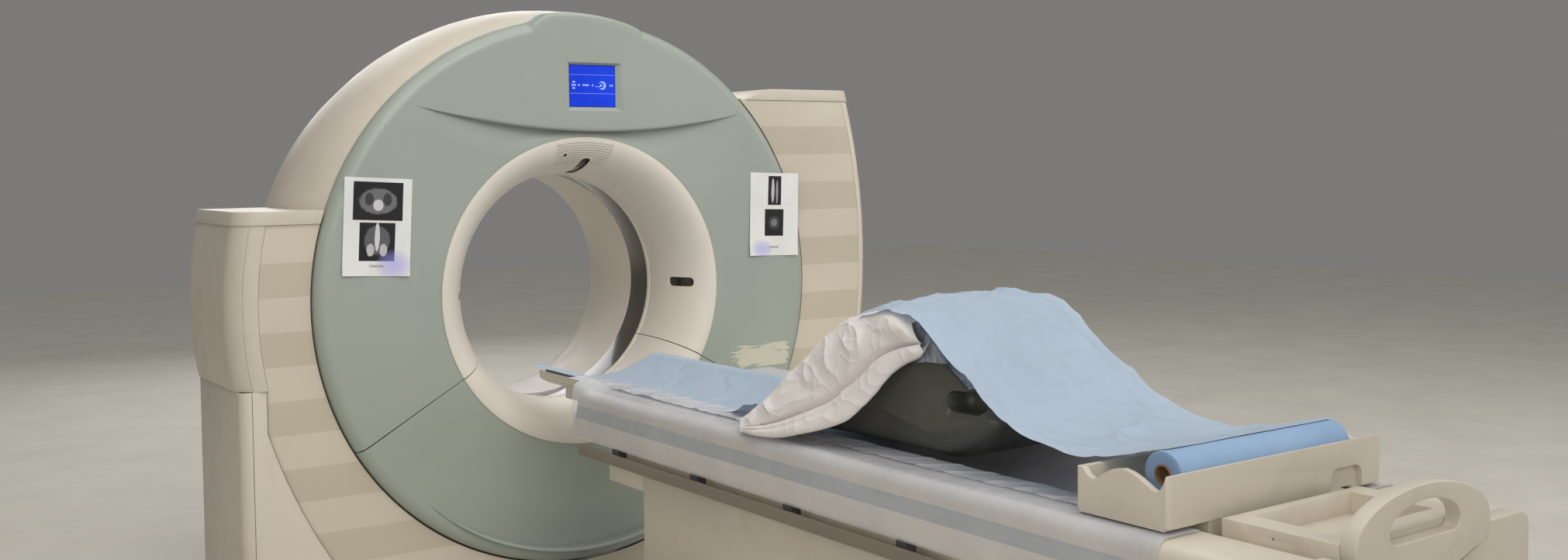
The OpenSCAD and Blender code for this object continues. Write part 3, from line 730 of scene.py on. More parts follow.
def cover_column(a):
    """Points of the cover from the mouth to the rim: hollow, lip, brow and rounded rim."""
    crown = smooth((a - 75.5) / 1.5) * smooth((103.2 - a) / 1.5)
    rim, soft = crown_r(a), mix(0.040, 0.016, crown)
    edge = MOUTH + 0.0015
    col = [(edge, FRONT + 0.010)]
    for k in range(4):
        t = k / 3 * pi / 2
        col.append((edge + 0.003 * (1 - cos(t)), FRONT + 0.003 * (1 - sin(t))))
    rc = crease_r(a)
    h = brow_depth(rc * cos(radians(a)))
    for k in range(1, 17):
        r = mix(edge + 0.003, rc, k / 16)
        dip = 0.5 * h * (1 - smooth((rc - r) / 0.13)) * smooth((r - MOUTH) / 0.045)
        col.append((r, FRONT + dip))
    lip = min(0.010, h * 0.6)
    for k in range(7):
        t = k / 6 * pi / 2
        col.append((rc + 0.0002 + lip * (1 - cos(t)), FRONT - (h - lip) - lip * sin(t)))
    start = rc + lip + 0.0004
    for k in range(1, 23):
        r = mix(start, rim - soft, k / 22)
        near = mix(1.0, 0.86, smooth(k / 22 * 1.2 - 0.2))
        depth = brow_depth(r * cos(radians(a))) if a < 180 else 0.0
        col.append((r, FRONT - depth * near))
    y0 = col[-1][1]
    for k in range(1, 11):
        t = k / 10 * pi / 2
        col.append((rim - soft + soft * sin(t), mix(y0, FRONT + 0.040, 1 - cos(t))))
    return col + [(rim, FRONT + 0.050), (rim - 0.006, FRONT + 0.050)]


def cover_rows(a0, a1):
    """Columns of the cover from one angle to another, closer together at the crown's ends."""
    rows, a = [], a0
    while a < a1 - 0.05:
        rows.append([polar(r, a, y) for r, y in cover_column(a)])
        fine = 74 < a < 80.5 or 97.5 < a < 104
        a += 0.3 if fine else pick(0.7)
    rows.append([polar(r, a1, y) for r, y in cover_column(a1)])
    return rows


SCREEN_LO, SCREEN_HI = Vector((-0.060, ISO + 0.604)), Vector((0.110, ISO + 0.742))


def front_covers():
    """Upper cover with hollow, brow and crown in one skin, and the lower third."""
    gap = 0.13
    upper = grid("front_cover_upper_skin", cover_rows(-30 + gap, 210 - gap), M["green"])
    lower = grid("front_cover_lower_skin", cover_rows(210 + gap, 330 - gap), M["green"])
    for o in (upper, lower):
        modifier(o, "SOLIDIFY", thickness=0.004, offset=-1)
    lo, hi = SCREEN_LO - Vector((0.010, 0.013)), SCREEN_HI + Vector((0.020, 0.008))
    cutter = box_object("cut", (lo.x, FRONT - 0.06, lo.y), (hi.x, FRONT + 0.03, hi.y),
                        M["green"], 0.003)
    modifier(upper, "BOOLEAN", operation="DIFFERENCE", object=cutter, solver="EXACT")
    for o in (upper, lower):
        apply_all(o)
        shade(o, 38)
    bpy.data.objects.remove(cutter)
    place(upper, "tilting_gantry", "sage_cover", "front_cover_upper")
    place(lower, "tilting_gantry", "sage_cover", "front_cover_lower")
    # recess round the panel: a rounded edge, sloping walls and a short step
    def ring(grow, y):
        a = SCREEN_LO.lerp(lo, grow)
        b = SCREEN_HI.lerp(hi, grow)
        return [Vector((a.x, y, a.y)), Vector((b.x, y, a.y)), Vector((b.x, y, b.y)),
                Vector((a.x, y, b.y))]
    face = FRONT - 0.0262
    rows = [ring(1.05, face + 0.0005), ring(0.96, face + 0.0002), ring(0.86, face + 0.0012),
            ring(0.12, face + 0.0105), ring(0.0, face + 0.0125), ring(0.0, face + 0.022)]
    place(grid("screen_recess", rows, M["green"], closed=True, angle=25), "tilting_gantry",
          "sage_cover")


# ---------- left tower ----------
def plate_outer(z):
    """Outer edge of the striped plate: an upright arc above, a sweeping arc below."""
    if z > 0.785:
        return 0.115 - sqrt(1.169 ** 2 - (z - ISO + 0.005) ** 2)
    return max(-1.034, 0.641 - sqrt(1.750 ** 2 - (z - ISO - 0.146) ** 2))


def striped_plate():
    """Left striped plate whose lower outer edge rolls back into a groove."""
    n = pick(260)
    rows = []
    for i in range(n + 1):
        z = mix(0.008, 1.270, i / n)
        rel = z - ISO
        inner = -sqrt(max(0.0, 0.9025 ** 2 - rel * rel)) if abs(rel) < 0.9025 else -0.001
        inner = min(inner, -0.001)
        outer = plate_outer(z)
        roll = smooth((0.800 - z) / 0.03)
        row = [Vector((outer, STRIPE + 0.012, z))]
        for s in (0.0, 0.0006, 0.002, 0.004, 0.007, 0.011, 0.015):
            t = max(0.0, 1 - s / 0.015)
            row.append(Vector((outer + s, STRIPE + 0.008 * roll * dome(t), z)))
        for k in range(1, 13):
            row.append(Vector((mix(outer + 0.015, inner - 0.004, k / 12), STRIPE, z)))
        row += [Vector((inner - 0.001, STRIPE + 0.001, z)), Vector((inner, STRIPE + 0.004, z)),
                Vector((inner, STRIPE + 0.018, z))]
        rows.append(row)
    obj = grid("striped_plate_left", rows, M["stripes"], angle=50)
    place(obj, "stand", "striped_panel", "front_plate_left")


def tower_side():
    """Bulged left flank: rounded front corner with a seam in it, then the long side."""
    n = pick(130)
    spots = [0, 5, 10, 15, 20, 25, 29.5, 30.7, 31.0, 31.2, 31.9, 32.1, 32.4, 33.6, 38, 44, 50, 56,
             62, 68, 74, 80, 85, 90]
    prof = []
    for a in spots:
        deep = 0.0022 if 31.1 < a < 32.0 else 0.0004 if 30.9 < a < 32.2 else 0.0
        rad = 0.080 - deep
        prof.append((1.170 + rad * sin(radians(a)), STRIPE + 0.080 - rad * cos(radians(a))))
    prof += [(1.250, mix(STRIPE + 0.09, 0.158, k / 12)) for k in range(13)]
    prof += [(1.2495, 0.161), (1.248, 0.163), (1.240, 0.163)]
    rows = []
    for i in range(n + 1):
        z = mix(0.785, 1.270, i / n)
        up = z - ISO + 0.005
        rows.append([Vector((0.115 - sqrt(r * r - up * up), y, z)) for r, y in prof])
    # The left flank takes the cream darkened as painted shade
    obj = grid("tower_flank_left", rows, M["flank"], angle=50)
    thicken(obj, 0.003, 1)
    shade(obj, 50)
    place(obj, "stand", "cream_cover", "side_cover_left")


def bell(t):
    """Radius and Y along the funnel from its outer edge (0) to the window (1)."""
    if t < 0.8:
        a = t / 0.8 * pi / 2
        return MOUTH - (MOUTH - BORE) * sin(a), FRONT + 0.225 * (1 - cos(a))
    return BORE, mix(FRONT + 0.225, -0.066, (t - 0.8) / 0.2)


def funnel_piece(name, a0, a1, node):
    """Skin of the funnel between two angles, with a thin lip beside the dark window."""
    n = int(abs(a1 - a0) * pick(1.5))
    rows = []
    for i in range(n + 1):
        a = mix(a0, a1, i / n)
        row = [polar(MOUTH, a, FRONT + 0.010)]
        for k in range(41):
            r, y = bell(k / 40)
            row.append(polar(r, a, y))
        row[-1] = polar(BORE - 0.001, a, -0.078)
        row += [polar(BORE - 0.004, a, -0.077), polar(BORE - 0.0045, a, -0.073),
                polar(BORE - 0.004, a, -0.067), polar(BORE, a, -0.066)]
        rows.append(row)
    obj = grid(name, rows, M["white"], angle=50)
    place(obj, "tilting_gantry", "funnel_white", node)
    return obj


def cut_slots(obj):
    """Opens the three light slots, with round ends, in a funnel mesh."""
    def slot(name, centre, size, axis):
        bm = bmesh.new()
        bmesh.ops.create_cube(bm, size=1)
        for v in bm.verts:
            v.co = Vector([v.co[k] * size[k] for k in range(3)])
        along = [e for e in bm.edges
                 if abs((e.verts[0].co - e.verts[1].co).normalized()[axis]) > 0.9]
        narrow = min(s for k, s in enumerate(size) if k != axis)
        bmesh.ops.bevel(bm, geom=along, offset=narrow * 0.42, segments=6, affect="EDGES",
                        profile=0.5)
        o = from_bmesh(name, bm)
        o.location = centre
        return o

    carve(obj, [slot("c1", (0.026, -0.219, ISO + 0.42), (0.034, 0.158, 0.16), 2),
                slot("c2", (0.42, -0.2475, ISO), (0.12, 0.099, 0.032), 0),
                slot("c3", (-0.42, -0.2475, ISO), (0.12, 0.099, 0.032), 0)])


def funnel():
    """Upper and lower funnel, with the light slots cut in the upper one."""
    gap = 0.2
    for part, a0, a1 in (("upper", -30, 210), ("lower", 210, 330)):
        skin = funnel_piece("funnel_" + part + "_bell", a0 + gap, a1 - gap, "funnel_" + part)
        thicken(skin, 0.004, -1)
        if part == "upper":
            cut_slots(skin)
        shade(skin, 40)


def grille():
    """Rows of small round holes over the speaker and the round pick-up beside them."""
    verts, faces = [], []
    bell_piece = bpy.data.objects["funnel_upper_bell"]
    dots = []
    for row in range(9):
        r = mix(0.424, 0.488, row / 8)
        step = degrees(0.0080 / r)
        a = 77.6
        while a < 102.4:
            near_mic = abs(r - 0.452) < 0.007 and abs(a - 98) < 0.9
            p = polar(r, a, 0)
            in_slot = abs(p.x - 0.026) < 0.020 and r < 0.447
            if not near_mic and not in_slot:
                dots.append((r, a, 0.0018))
            a += step
    dots.append((0.452, 98.0, 0.0062))
    for r, a, size in dots:
        hit, spot, out, _ = bell_piece.ray_cast(polar(r, a, FRONT - 0.5), Vector((0, 1, 0)))
        if not hit:
            continue
        across = Vector((-sin(radians(a)), 0, cos(radians(a))))
        radial = out.cross(across).normalized()
        centre = spot + out * 0.0004
        k = len(verts)
        sides = 8 if size < 0.003 else 20
        for j in range(sides):
            t = j / sides * 2 * pi
            verts.append(centre + radial * (size * cos(t)) + across * (size * sin(t)))
        faces.append(tuple(range(k, k + sides)))
    obj = mesh_object("speaker_holes", verts, faces, M["gap"])
    place(obj, "tilting_gantry", "funnel_white", "speaker_grille")


# ---------- soft goods ----------
# Height of the paper's crest line over the bore's middle, by Y, from foot to ring
PAPER_LINE = [(-2.9560, -0.0885), (-2.944, -0.0895), (-2.929, -0.095), (-2.860, -0.1135),
              (-2.790, -0.131), (-2.727, -0.138), (-2.653, -0.134), (-2.560, -0.114),
              (-2.490, -0.088), (-2.427, -0.050), (-2.342, 0.008), (-2.290, 0.054),
              (-2.250, 0.084), (-2.210, 0.097), (-2.160, 0.101), (-2.110, 0.092),
              (-2.060, 0.070), (-2.033, 0.057), (-1.933, -0.010), (-1.858, -0.058),
              (-1.760, -0.121), (-1.700, -0.158), (-1.640, -0.186), (-1.580, -0.200)]


def paper_roll():
    """Wound roll, a little out of round, its ends cut in slightly uneven turns."""
    cy, cz, r = ROLL
    n = pick(160)
    spots = [(-0.2600, 0.0165), (-0.2612, 0.019), (-0.2605, 0.026), (-0.2615, 0.032),
             (-0.2606, 0.038), (-0.2600, r - 0.0010)]
    spots += [(mix(-0.2585, 0.2265, k / 40), r) for k in range(41)]
    spots += [(0.2280, r - 0.001), (0.2270, 0.030), (0.2280, 0.0165)]
    rows = []
    for x, rad in spots:
        row = []
        for k in range(n):
            a = k / n * 2 * pi
            wob = 0.0004 * noise.noise(Vector((x * 6, cos(a) * 2, sin(a) * 2))) if rad > 0.03 else 0
            out = rad - 0.0003 + wob
            row.append(Vector((x, cy + out * cos(a), ISO + cz + out * sin(a))))
        rows.append(row)
    rows.append([p.copy() for p in rows[0]])
    obj = grid("paper_roll_wound", rows, M["roll"], closed=True, angle=50)
    place(obj, "roll", "roll_paper", "paper_roll")


def bed_point(t, y, lift):
    """Point of something laid on the made-up top, t across: hollow, then level over the rims."""
    a = abs(t)
    turn = 0.192
    if a < turn:
        x, z = LIE * sin(a / LIE), LIE_Z - LIE * cos(a / LIE)
    else:
        s = a - turn
        x = LIE * sin(turn / LIE) + 0.93 * s
        z0 = LIE_Z - LIE * cos(turn / LIE)
        z = mix(z0 + 0.51 * s, DECK + 0.0022, smooth(s / 0.022))
    return Vector((x if t > 0 else -x, y, z + lift))


def paper_point(y, t):
    """Point of the paper at Y, t across from -0.25 to 0.25."""
    bed = bed_point(t, y, 0.0012)
    if y > -1.45:
        return bed
    u = (t + 0.25) / 0.5
    skew = 0.045 * (1 - u) * smooth((-y - 2.15) / 0.15) * smooth((2.62 + y) / 0.2)
    z = ISO + eased(PAPER_LINE, y + skew)
    crown = 0.018 * sin(pi * u) * smooth((y + 2.40) / 0.25) * smooth((-y - 1.80) / 0.2)
    window = smooth((y + 2.20) / 0.10) * smooth((-1.62 - y) / 0.12)
    droop = 0.020 * smooth((-t - 0.200) / 0.045) ** 2 * window
    over = Vector((t, y, z + crown - droop))
    return bed.lerp(over, smooth((-y - 1.50) / 0.14))


def creases(p, seed, size, fine=1.0):
    """Sharp-crested folds of crumpled paper or cloth."""
    q = Vector((p.x * 5 + seed, p.y * 3.1, p.z * 3.1)) * fine
    a = 1 - abs(noise.noise(q)) * 2.6
    b = 1 - abs(noise.noise(q * 2.3 + Vector((7, 3, 1)))) * 2.6
    return size * (max(0.0, a) ** 3 + 0.5 * max(0.0, b) ** 3 - 0.35)


def paper_sheet():
    """The sheet from the ring end over the support to the roll, creased from the slope on."""
    ny, nx = pick(560), pick(64)
    ys = [mix(-0.394, -2.9565, i / ny) for i in range(ny + 1)]
    rows = []
    for y in ys:
        row = []
        for j in range(nx + 1):
            t = mix(-0.2495, 0.2495, j / nx)
            p = paper_point(y, t)
            loose = smooth((-y - 1.40) / 0.4) * mix(1.0, 0.5, smooth((-y - 2.6) / 0.3))
            loose *= smooth((2.9565 + y) / 0.05 + 0.1)
            p.z += creases(p, 0, 0.0105) * loose
            p.z += creases(p, 4.0, 0.0030, 2.6) * loose
            wave = 0.0012 + 0.0011 * noise.noise(Vector((p.x * 9, p.y * 2.2, 4)))
            p.z += wave * (1 - loose)
            row.append(p)
        rows.append(row)
    obj = grid("examination_paper_sheet", rows, M["paper"], angle=80)
    place(obj, "cradle", "examination_paper", "paper_sheet")


def bolster_sections():
    """Outline of the leg support in Y and Z, foot to ring, then back under it."""
    top = [(-2.484, -0.118), (-2.466, -0.104), (-2.425, -0.066), (-2.342, -0.006),
           (-2.290, 0.043), (-2.255, 0.068), (-2.212, 0.080), (-2.160, 0.084), (-2.110, 0.075),
           (-2.060, 0.053), (-2.000, 0.015), (-1.933, -0.028), (-1.858, -0.076), (-1.760, -0.138),
           (-1.690, -0.184), (-1.640, -0.206)]
    low = [(-1.655, -0.214), (-1.800, -0.215), (-2.000, -0.215), (-2.180, -0.215),
           (-2.295, -0.214), (-2.345, -0.205), (-2.395, -0.186), (-2.447, -0.158),
           (-2.478, -0.132)]
    return top, low


def bolster():
    """Leg support: a padded wedge whose ends curve in towards the bottom, with a hand hole."""
    top, low = bolster_sections()
    outline = [Vector((y, z)) for y, z in top + low]
    centre = Vector((-2.12, -0.10))
    xs = [-0.213, -0.211, -0.205, -0.195, -0.18, -0.12, 0.0, 0.12, 0.18, 0.195, 0.205, 0.211, 0.213]
    rows = []
    ring = spline([(p.x, p.y, 0) for p in outline + outline[:1]], 150)[:-1]
    for x in xs:
        end = max(0.0, (abs(x) - 0.18) / 0.033)
        row = []
        for q in ring:
            under = smooth((0.02 - q.y) / 0.23)
            inset = dome(end) * mix(0.020, 0.085, under)
            p = Vector((q.x, q.y))
            p = p + (centre - p).normalized() * inset
            row.append(Vector((x, p.x, ISO + max(-0.2145, p.y))))
        rows.append(row)
    w = len(rows[0])
    verts = [p for r in rows for p in r]
    faces = grid_faces(len(rows), w, closed=True)
    faces.append(tuple(range(w)))
    faces.append(tuple(reversed(range((len(rows) - 1) * w, len(rows) * w))))
    obj = mesh_object("leg_support_pad", verts, faces, M["bolster"], 60)
    modifier(obj, "REMESH", mode="VOXEL", voxel_size=pick(0.006))
    apply_all(obj)
    puff(obj, 4.0, 0.006)
    ledge = box_object("ledge", (-0.26, -2.456, ISO - 0.124), (-0.2105, -2.341, ISO - 0.060),
                       M["bolster"], 0.016, 5)
    hole = box_object("hole", (-0.26, -2.4455, ISO - 0.108), (-0.150, -2.3445, ISO - 0.063),
                      M["bolster"], 0.020, 5)
    carve(obj, [ledge, hole])
    shade(obj, 50)
    place(obj, "cradle", "bolster_vinyl", "leg_bolster")


def puff(obj, pressure, cap):
    """Swells a closed pad with cloth pressure, no point moving further than the cap."""
    before = [v.co.copy() for v in obj.data.vertices]
    scene = bpy.context.scene
    m = modifier(obj, "CLOTH", "cloth")
    s = m.settings
    s.use_pressure = True
    s.uniform_pressure_force = pressure
    s.effector_weights.gravity = 0
    s.quality = 4
    s.mass = 0.3
    m.point_cache.frame_start = 1
    m.point_cache.frame_end = 20
    for f in range(1, pick(21)):
        scene.frame_set(f)
    apply_all(obj)
    scene.frame_set(1)
    for v, b in zip(obj.data.vertices, before):
        d = v.co - b
        if d.length > cap:
            v.co = b + d * (cap / d.length)


def mattress():
    """Thin concave mattress with a rounded edge all round, closed by a strip at each end."""
    ny, nk = pick(420), 28
    ring_y, foot_y = PAD_ENDS
    half = 0.215 / (LIE + 0.010)
    rows = []
    r_top, r_low = LIE + 0.0025, LIE + 0.0185
    for i in range(ny + 1):
        y = mix(ring_y, foot_y, i / ny)
        tip = max(0.0, 0.060 - (ring_y - y)) / 0.060
        end = min(ring_y - y, y - foot_y)
        thin = 0.007 * dome(max(0.0, 1 - end / 0.008))
        wide = half - 0.058 * dome(tip) / LIE
        row = []
        for k in range(nk + 1):
            a = mix(-wide, wide, k / nk)
            r = r_top + thin + 0.007 * dome(max(0.0, 1 - (wide - abs(a)) * LIE / 0.008))
            r += 0.0008 * noise.noise(Vector((a * 9, y * 7, 1)))
            row.append(Vector((r * sin(a), y, LIE_Z - r * cos(a))))
        for k in range(nk + 1):
            a = mix(wide, -wide, k / nk)
            r = r_low - thin - 0.007 * dome(max(0.0, 1 - (wide - abs(a)) * LIE / 0.008))
            row.append(Vector((r * sin(a), y, LIE_Z - r * cos(a))))
        rows.append(row)
    obj = grid("mattress_pad", rows, M["pad"], closed=True, angle=60)
    bm = bmesh.new()
    bm.from_mesh(obj.data)
    bm.verts.ensure_lookup_table()
    w = len(rows[0])
    for start in (0, ny * w):
        for j in range(nk):
            corners = (start + j, start + j + 1, start + w - 2 - j, start + w - 1 - j)
            bm.faces.new([bm.verts[c] for c in corners])
    bmesh.ops.recalc_face_normals(bm, faces=bm.faces)
    bm.to_mesh(obj.data)
    bm.free()
    shade(obj, 60)
    place(obj, "cradle", "mattress_vinyl", "mattress")


# The cloth's upper line and hem, from its tip to the crest
CLOTH_TOP = [(-0.335, -1.740, 0.825), (-0.318, -1.768, 0.847), (-0.300, -1.801, 0.877),
             (-0.285, -1.831, 0.908), (-0.272, -1.863, 0.942), (-0.262, -1.902, 0.978),
             (-0.254, -1.951, 1.022), (-0.246, -1.998, 1.056), (-0.240, -2.046, 1.083),
             (-0.236, -2.109, 1.102), (-0.234, -2.165, 1.111), (-0.232, -2.211, 1.107),
             (-0.230, -2.252, 1.091)]
CLOTH_HEM = [(-0.350, -1.760, 0.799), (-0.350, -1.833, 0.799), (-0.345, -1.910, 0.806),
             (-0.335, -1.984, 0.823), (-0.320, -2.049, 0.843), (-0.302, -2.108, 0.866),
             (-0.290, -2.147, 0.897), (-0.278, -2.184, 0.934), (-0.266, -2.215, 0.972),
             (-0.256, -2.240, 0.995), (-0.248, -2.262, 1.008), (-0.242, -2.288, 1.020),
             (-0.238, -2.300, 1.034)]


def cloth_rows():
    """Rows of the folded cloth from its tip to the crest, each from the upper line to the hem."""
    n, m = pick(300), pick(110)
    top, hem = spline(CLOTH_TOP, n), spline(CLOTH_HEM, n)
    rows = []
    for i in range(n + 1):
        u = i / n
        hold = smooth(u * 9 + 0.15) * smooth((1.06 - u) * 6)
        row = []
        # upper edge: turned in onto the paper's slope, and under the paper at the crest
        under = smooth((u - 0.74) / 0.12)
        for k in range(10, 0, -1):
            inner = mix(top[i].x + 0.030, -0.02, under)
            x = mix(top[i].x, inner, (k / 10) ** 1.2)
            line = ISO + eased(PAPER_LINE, top[i].y) - 0.0055
            z = min(top[i].z, line) if k > 1 else mix(line, top[i].z, 0.5)
            low = top[i].z - 0.012 * (k / 10) ** 2
            row.append(Vector((x, top[i].y + 0.002 * k, mix(low, z, under))))
        for k in range(m + 1):
            v = k / m
            p = top[i].lerp(hem[i], v)
            d = Vector((-1, -0.1, 0.28)).normalized()
            # bulging body, deep crease, then the rolled cuff
            at = mix(0.60, 0.70, smooth(u * 1.3))
            body = sin(pi * min(1.0, v / at)) ** 0.7 * 0.026 * smooth(u * 3)
            crease = -0.010 * max(0.0, 1 - abs(v - at) / 0.06)
            over = (v - at) / (1 - at)
            cuff = 0.017 * sqrt(max(0.0, 1 - (2 * over - 1) ** 2)) if over > 0 else 0.0
            second = -0.006 * max(0.0, 1 - abs(over - 0.45) / 0.16) * smooth(1 - u * 1.5)
            fan = u * 1.2 - v * 0.30
            folds = 0.009 * (abs(sin(fan * 7 + 0.9 * sin(v * 3))) - 0.5) * sin(pi * min(1, v / at))
            folds += creases(p, 3.0, 0.0170, 1.35) * sin(pi * min(1, v / at + 0.1))
            folds += creases(p, 8.0, 0.0034, 3.4)
            p = p + d * ((body + crease + cuff + second + folds) * hold)
            p.z = max(p.z, DECK + 0.004)
            row.append(p)
        # the cuff tucks in behind itself
        tuck = row[-1]
        for k in range(1, 6):
            p = tuck + Vector((0.004 * k, 0.001 * k, 0.0045 * k))
            p.z = max(p.z, DECK + 0.0045)
            row.append(p)
        rows.append(row)
    return rows


def white_cloth():
    obj = grid("folded_cloth", cloth_rows(), M["linen"], angle=80)
    place(obj, "cradle", "white_linen", "white_cloth")


def film_liner():
    """Thin film round the support's near side, showing between the cloth and the paper."""
    n, m = pick((90, 60))
    rows = []
    for i in range(n + 1):
        y = mix(-2.190, -2.420, i / n)
        top = ISO + eased(PAPER_LINE, y) - 0.006
        low = 1.003 + 0.010 * smooth((-y - 2.24) / 0.1) + 0.002 * sin(y * 60)
        low = min(low, top - 0.004)
        row = []
        for k in range(m + 1):
            t = k / m
            if t < 0.3:
                x, z = mix(-0.150, -0.216, t / 0.3), top - 0.002 * (t / 0.3) ** 2
            else:
                x, z = -0.2175, mix(top - 0.002, low, (t - 0.3) / 0.7)
            ruck = creases(Vector((x, y, z)), 5.0, 0.0035, 5.5)
            row.append(Vector((x - abs(ruck) * smooth(t * 3), y, z - abs(ruck) * 0.6 * (1 - t))))
        rows.append(row)
    obj = grid("film_liner", rows, M["liner"], angle=70)
    place(obj, "cradle", "clear_film")


def film_strip():
    """Milky film lying over the near edge of the paper, the mattress and the deck."""
    n, m = pick((520, 34))
    rows = []
    for i in range(n + 1):
        y = mix(-0.720, -2.792, i / n)
        over_paper = smooth((y + 1.66) / 0.10)
        row = []
        inner = 0.157 + 0.004 * noise.noise(Vector((y * 2.5, 0, 5)))
        for k in range(m + 1):
            t = mix(inner, 0.288, k / m)
            q = bed_point(t, y, mix(0.0022, 0.0040, over_paper))
            turned = Vector(((q.x - y) * 9.0, (q.x + y) * 2.2, 0.0))
            ridge = max(0.0, 1 - abs(noise.noise(turned)) * 3.0) ** 2
            ridge += 0.5 * max(0.0, 1 - abs(noise.noise(turned * 2.1)) * 3.0) ** 2
            fade = smooth(k / m * 8) * mix(0.5, 1.0, smooth((y + 1.75) / 0.2))
            fade *= smooth((-y - 0.72) / 0.15)
            row.append(Vector((-q.x, y, q.z + 0.0040 * ridge * fade)))
        rows.append(row)
    obj = grid("film_strip", rows, M["milky"], angle=70)
    place(obj, "cradle", "clear_film")


def side_film(side):
    """Thin film over one long edge of the table body, hanging over its band."""
    n = pick(520)
    rows = []
    for i in range(n + 1):
        y = mix(-0.905, -3.02, i / n)
        row = []
        hang = 0.134 + 0.008 * noise.noise(Vector((y * 1.3, side, 3)))
        path = [(0.240, DECK + 0.0015), (0.325, DECK + 0.0015)]
        for k in range(1, 7):
            a = k / 6 * pi / 2
            path.append((0.325 + 0.027 * sin(a), DECK - 0.025 + 0.027 * cos(a)))
        path.append((0.352, DECK - hang))
        pts = []
        for (x0, z0), (x1, z1) in zip(path, path[1:]):
            m = 8 if abs(x1 - x0) + abs(z1 - z0) > 0.03 else 1
            pts += [(mix(x0, x1, k / m), mix(z0, z1, k / m)) for k in range(m)]
        pts.append(path[-1])
        for x, z in pts:
            w = 0.0020 * (1 + noise.noise(Vector((x * 5, y * 3.0, z * 6 + side))))
            w += 0.0010 * max(0.0, noise.noise(Vector((y * 9, x * 16, z * 16))))
            low = smooth((DECK - 0.02 - z) / 0.1)
            if side < 0:
                w += 0.020 * smooth((y + 1.02) / 0.11) * (1 - low) * smooth((x - 0.25) / 0.03)
            row.append(Vector((side * (x + w * low), y, z + w * (1 - low))))
        rows.append(row)
    obj = grid("edge_film_" + ("right" if side > 0 else "left"), rows, M["film"], angle=80)
    place(obj, "couch", "clear_film", "cover_film")


# Each taped sheet: side, X, height over the bore's middle, turn in degrees, its dark fields
# (middle, half size, ovals in them with their grey level) and its patch of painted bluish light
NOTICES = (
    ("left", -0.706, 0.235, 3.2,
     [(0.0, 0.078, 0.077, 0.058,
       [(0.0, 0.078, 0.060, 0.040, 110), (0.0, 0.066, 0.016, 0.018, 205),
        (-0.028, 0.084, 0.014, 0.02, 60), (0.028, 0.084, 0.014, 0.02, 60)]),
      (0.0, -0.045, 0.055, 0.058,
       [(0.0, -0.04, 0.040, 0.045, 95), (0.0, -0.03, 0.008, 0.045, 210),
        (-0.02, -0.07, 0.012, 0.02, 190), (0.02, -0.07, 0.012, 0.02, 190)])],
     (0.055, -0.115, 0.06, 0.05)),
    ("right", 0.757, 0.229, 2.0,
     [(0.0, 0.085, 0.028, 0.052,
       [(-0.008, 0.085, 0.007, 0.045, 190), (0.01, 0.08, 0.005, 0.045, 150)]),
      (0.0, -0.030, 0.040, 0.048,
       [(0.0, -0.03, 0.026, 0.026, 60), (0.0, -0.03, 0.014, 0.014, 120)])],
     (-0.05, -0.125, 0.05, 0.035)))


def notices():
    """The two taped sheets, their lower corners lifting a little."""
    w, h = 0.105, 0.1485
    for name, x, z, turn, fields, painted_blue_light in NOTICES:
        rows = []
        for i in range(25):
            v = mix(-h, h, i / 24)
            row = []
            for j in range(19):
                u = mix(-w, w, j / 18)
                curl = 0.004 * smooth((-v - 0.10) / 0.05) * (u / w) ** 2
                wave = 0.0012 * (1 + sin(u * 30 + v * 12))
                row.append(Vector((u, -curl - wave, v)))
            rows.append(row)
        obj = grid("notice_" + name, rows, notice("notice_print_" + name, fields, painted_blue_light), angle=80)
        obj.matrix_world = Matrix.Translation((x, FRONT - 0.0016, ISO + z)) @ Matrix.Rotation(
            radians(turn), 4, "Y")
        place(obj, "tilting_gantry", "notice_paper", "notice_sheets")


# ---------- scene ----------
# The photo's camera, found from the bore, the cover's rim and the table's edges
CAM = {"at": (-2.25297, -4.62526, 1.44167), "yaw": 0.61854, "pitch": -0.04114, "roll": -0.01154,
       "f": 1877.85, "cx": 1011.0, "cy": 284.205}


def camera():
    """The photo's camera: place, turn, focal length and shift."""
    yaw, pitch, roll = CAM["yaw"], CAM["pitch"], CAM["roll"]
    d = Vector((sin(yaw) * cos(pitch), cos(yaw) * cos(pitch), sin(pitch)))
    r = Vector((cos(yaw), -sin(yaw), 0))
    u = r.cross(d)
    r2 = r * cos(roll) + u * sin(roll)
    u2 = -r * sin(roll) + u * cos(roll)
    data = bpy.data.cameras.new("camera")
    data.sensor_width = 36
    data.lens = 36 * CAM["f"] / PHOTO_W
    data.shift_x = (PHOTO_W / 2 - CAM["cx"]) / PHOTO_W
    data.shift_y = (CAM["cy"] - PHOTO_H / 2) / PHOTO_W
    data.clip_end = 60
    cam = link(bpy.data.objects.new("camera", data))
    m = Matrix((r2, u2, -d)).transposed().to_4x4()
    m.translation = CAM["at"]
    cam.matrix_world = m
    bpy.context.scene.camera = cam


def new_light(name, kind, power, tint, way):
    data = bpy.data.lights.new(name, kind)
    data.energy = power
    data.color = tint
    obj = link(bpy.data.objects.new(name, data))
    obj.rotation_euler = way.to_track_quat("-Z", "Y").to_euler()
    return obj, data


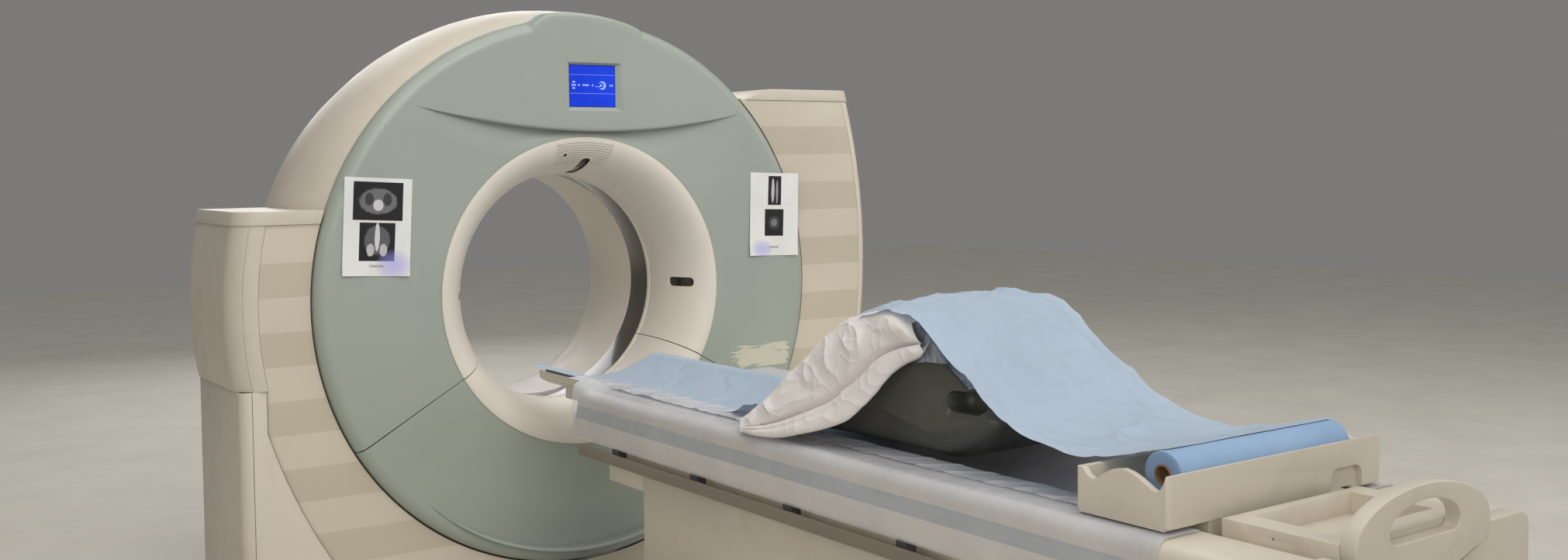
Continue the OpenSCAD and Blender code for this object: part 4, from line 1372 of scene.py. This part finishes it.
def area_light(name, at, target, size, power, tint=(1, 1, 1), spread=180):
    """Soft panel aimed at a point, its light kept within the spread in degrees."""
    obj, data = new_light(name, "AREA", power, tint, Vector(target) - Vector(at))
    data.shape = "RECTANGLE"
    data.size, data.size_y = size
    data.spread = radians(spread)
    obj.location = at


def sun_light(name, towards, spread, power, tint):
    """Even soft light from the direction given, over the spread in degrees."""
    new_light(name, "SUN", power, tint, -Vector(towards))[1].angle = radians(spread)


def studio():
    """Plain pale floor, soft lights and an even grey surround."""
    floor_m = moulded("studio_floor", srgb(206, 203, 193), (0.55, 0.7)).m
    rows = [[Vector((mix(-14, 14, j / 8), mix(-14, 14, i / 8), -0.0005)) for j in range(9)]
            for i in range(9)]
    floor = grid("studio_floor", rows, floor_m)
    area_light("ceiling", (0.3, -2.2, 7.0), (0.1, -1.6, 0.6), (9.0, 7.0), 280, (1.0, 0.975, 0.94))
    sun_light("key", (-0.14, -1.0, 0.50), 40, 0.80, (1.0, 0.97, 0.93))
    area_light("brow", (-0.3, -3.6, 4.3), (0.0, -0.4, 1.7), (4.5, 1.6), 16, (1.0, 0.98, 0.96), 110)
    area_light("low", (-3.6, -4.0, 1.7), (0.1, -2.5, 0.8), (2.6, 1.6), 8, (1.0, 0.96, 0.90), 80)
    area_light("fill", (6.0, -4.5, 3.2), (0, -0.5, 1.0), (4.0, 3.0), 70, (0.95, 0.97, 1.0))
    area_light("back", (1.5, 5.5, 3.6), (0, 0, 1.0), (4.0, 3.0), 90, (0.98, 0.98, 1.0))
    world = bpy.data.worlds.new("studio")
    world.use_nodes = True
    world.node_tree.nodes["Background"].inputs["Color"].default_value = (0.62, 0.61, 0.59, 1)
    world.node_tree.nodes["Background"].inputs["Strength"].default_value = 0.32
    bpy.context.scene.world = world
    bpy.context.scene.view_settings.view_transform = "Standard"


camera()
studio()
dress_nodes()
soften_nodes()
front_covers()
striped_plate()
tower_side()
funnel()
grille()
paper_roll()
paper_sheet()
mattress()
bolster()
white_cloth()
film_liner()
film_strip()
side_film(-1)
side_film(1)
notices()

bpy.context.view_layer.update()
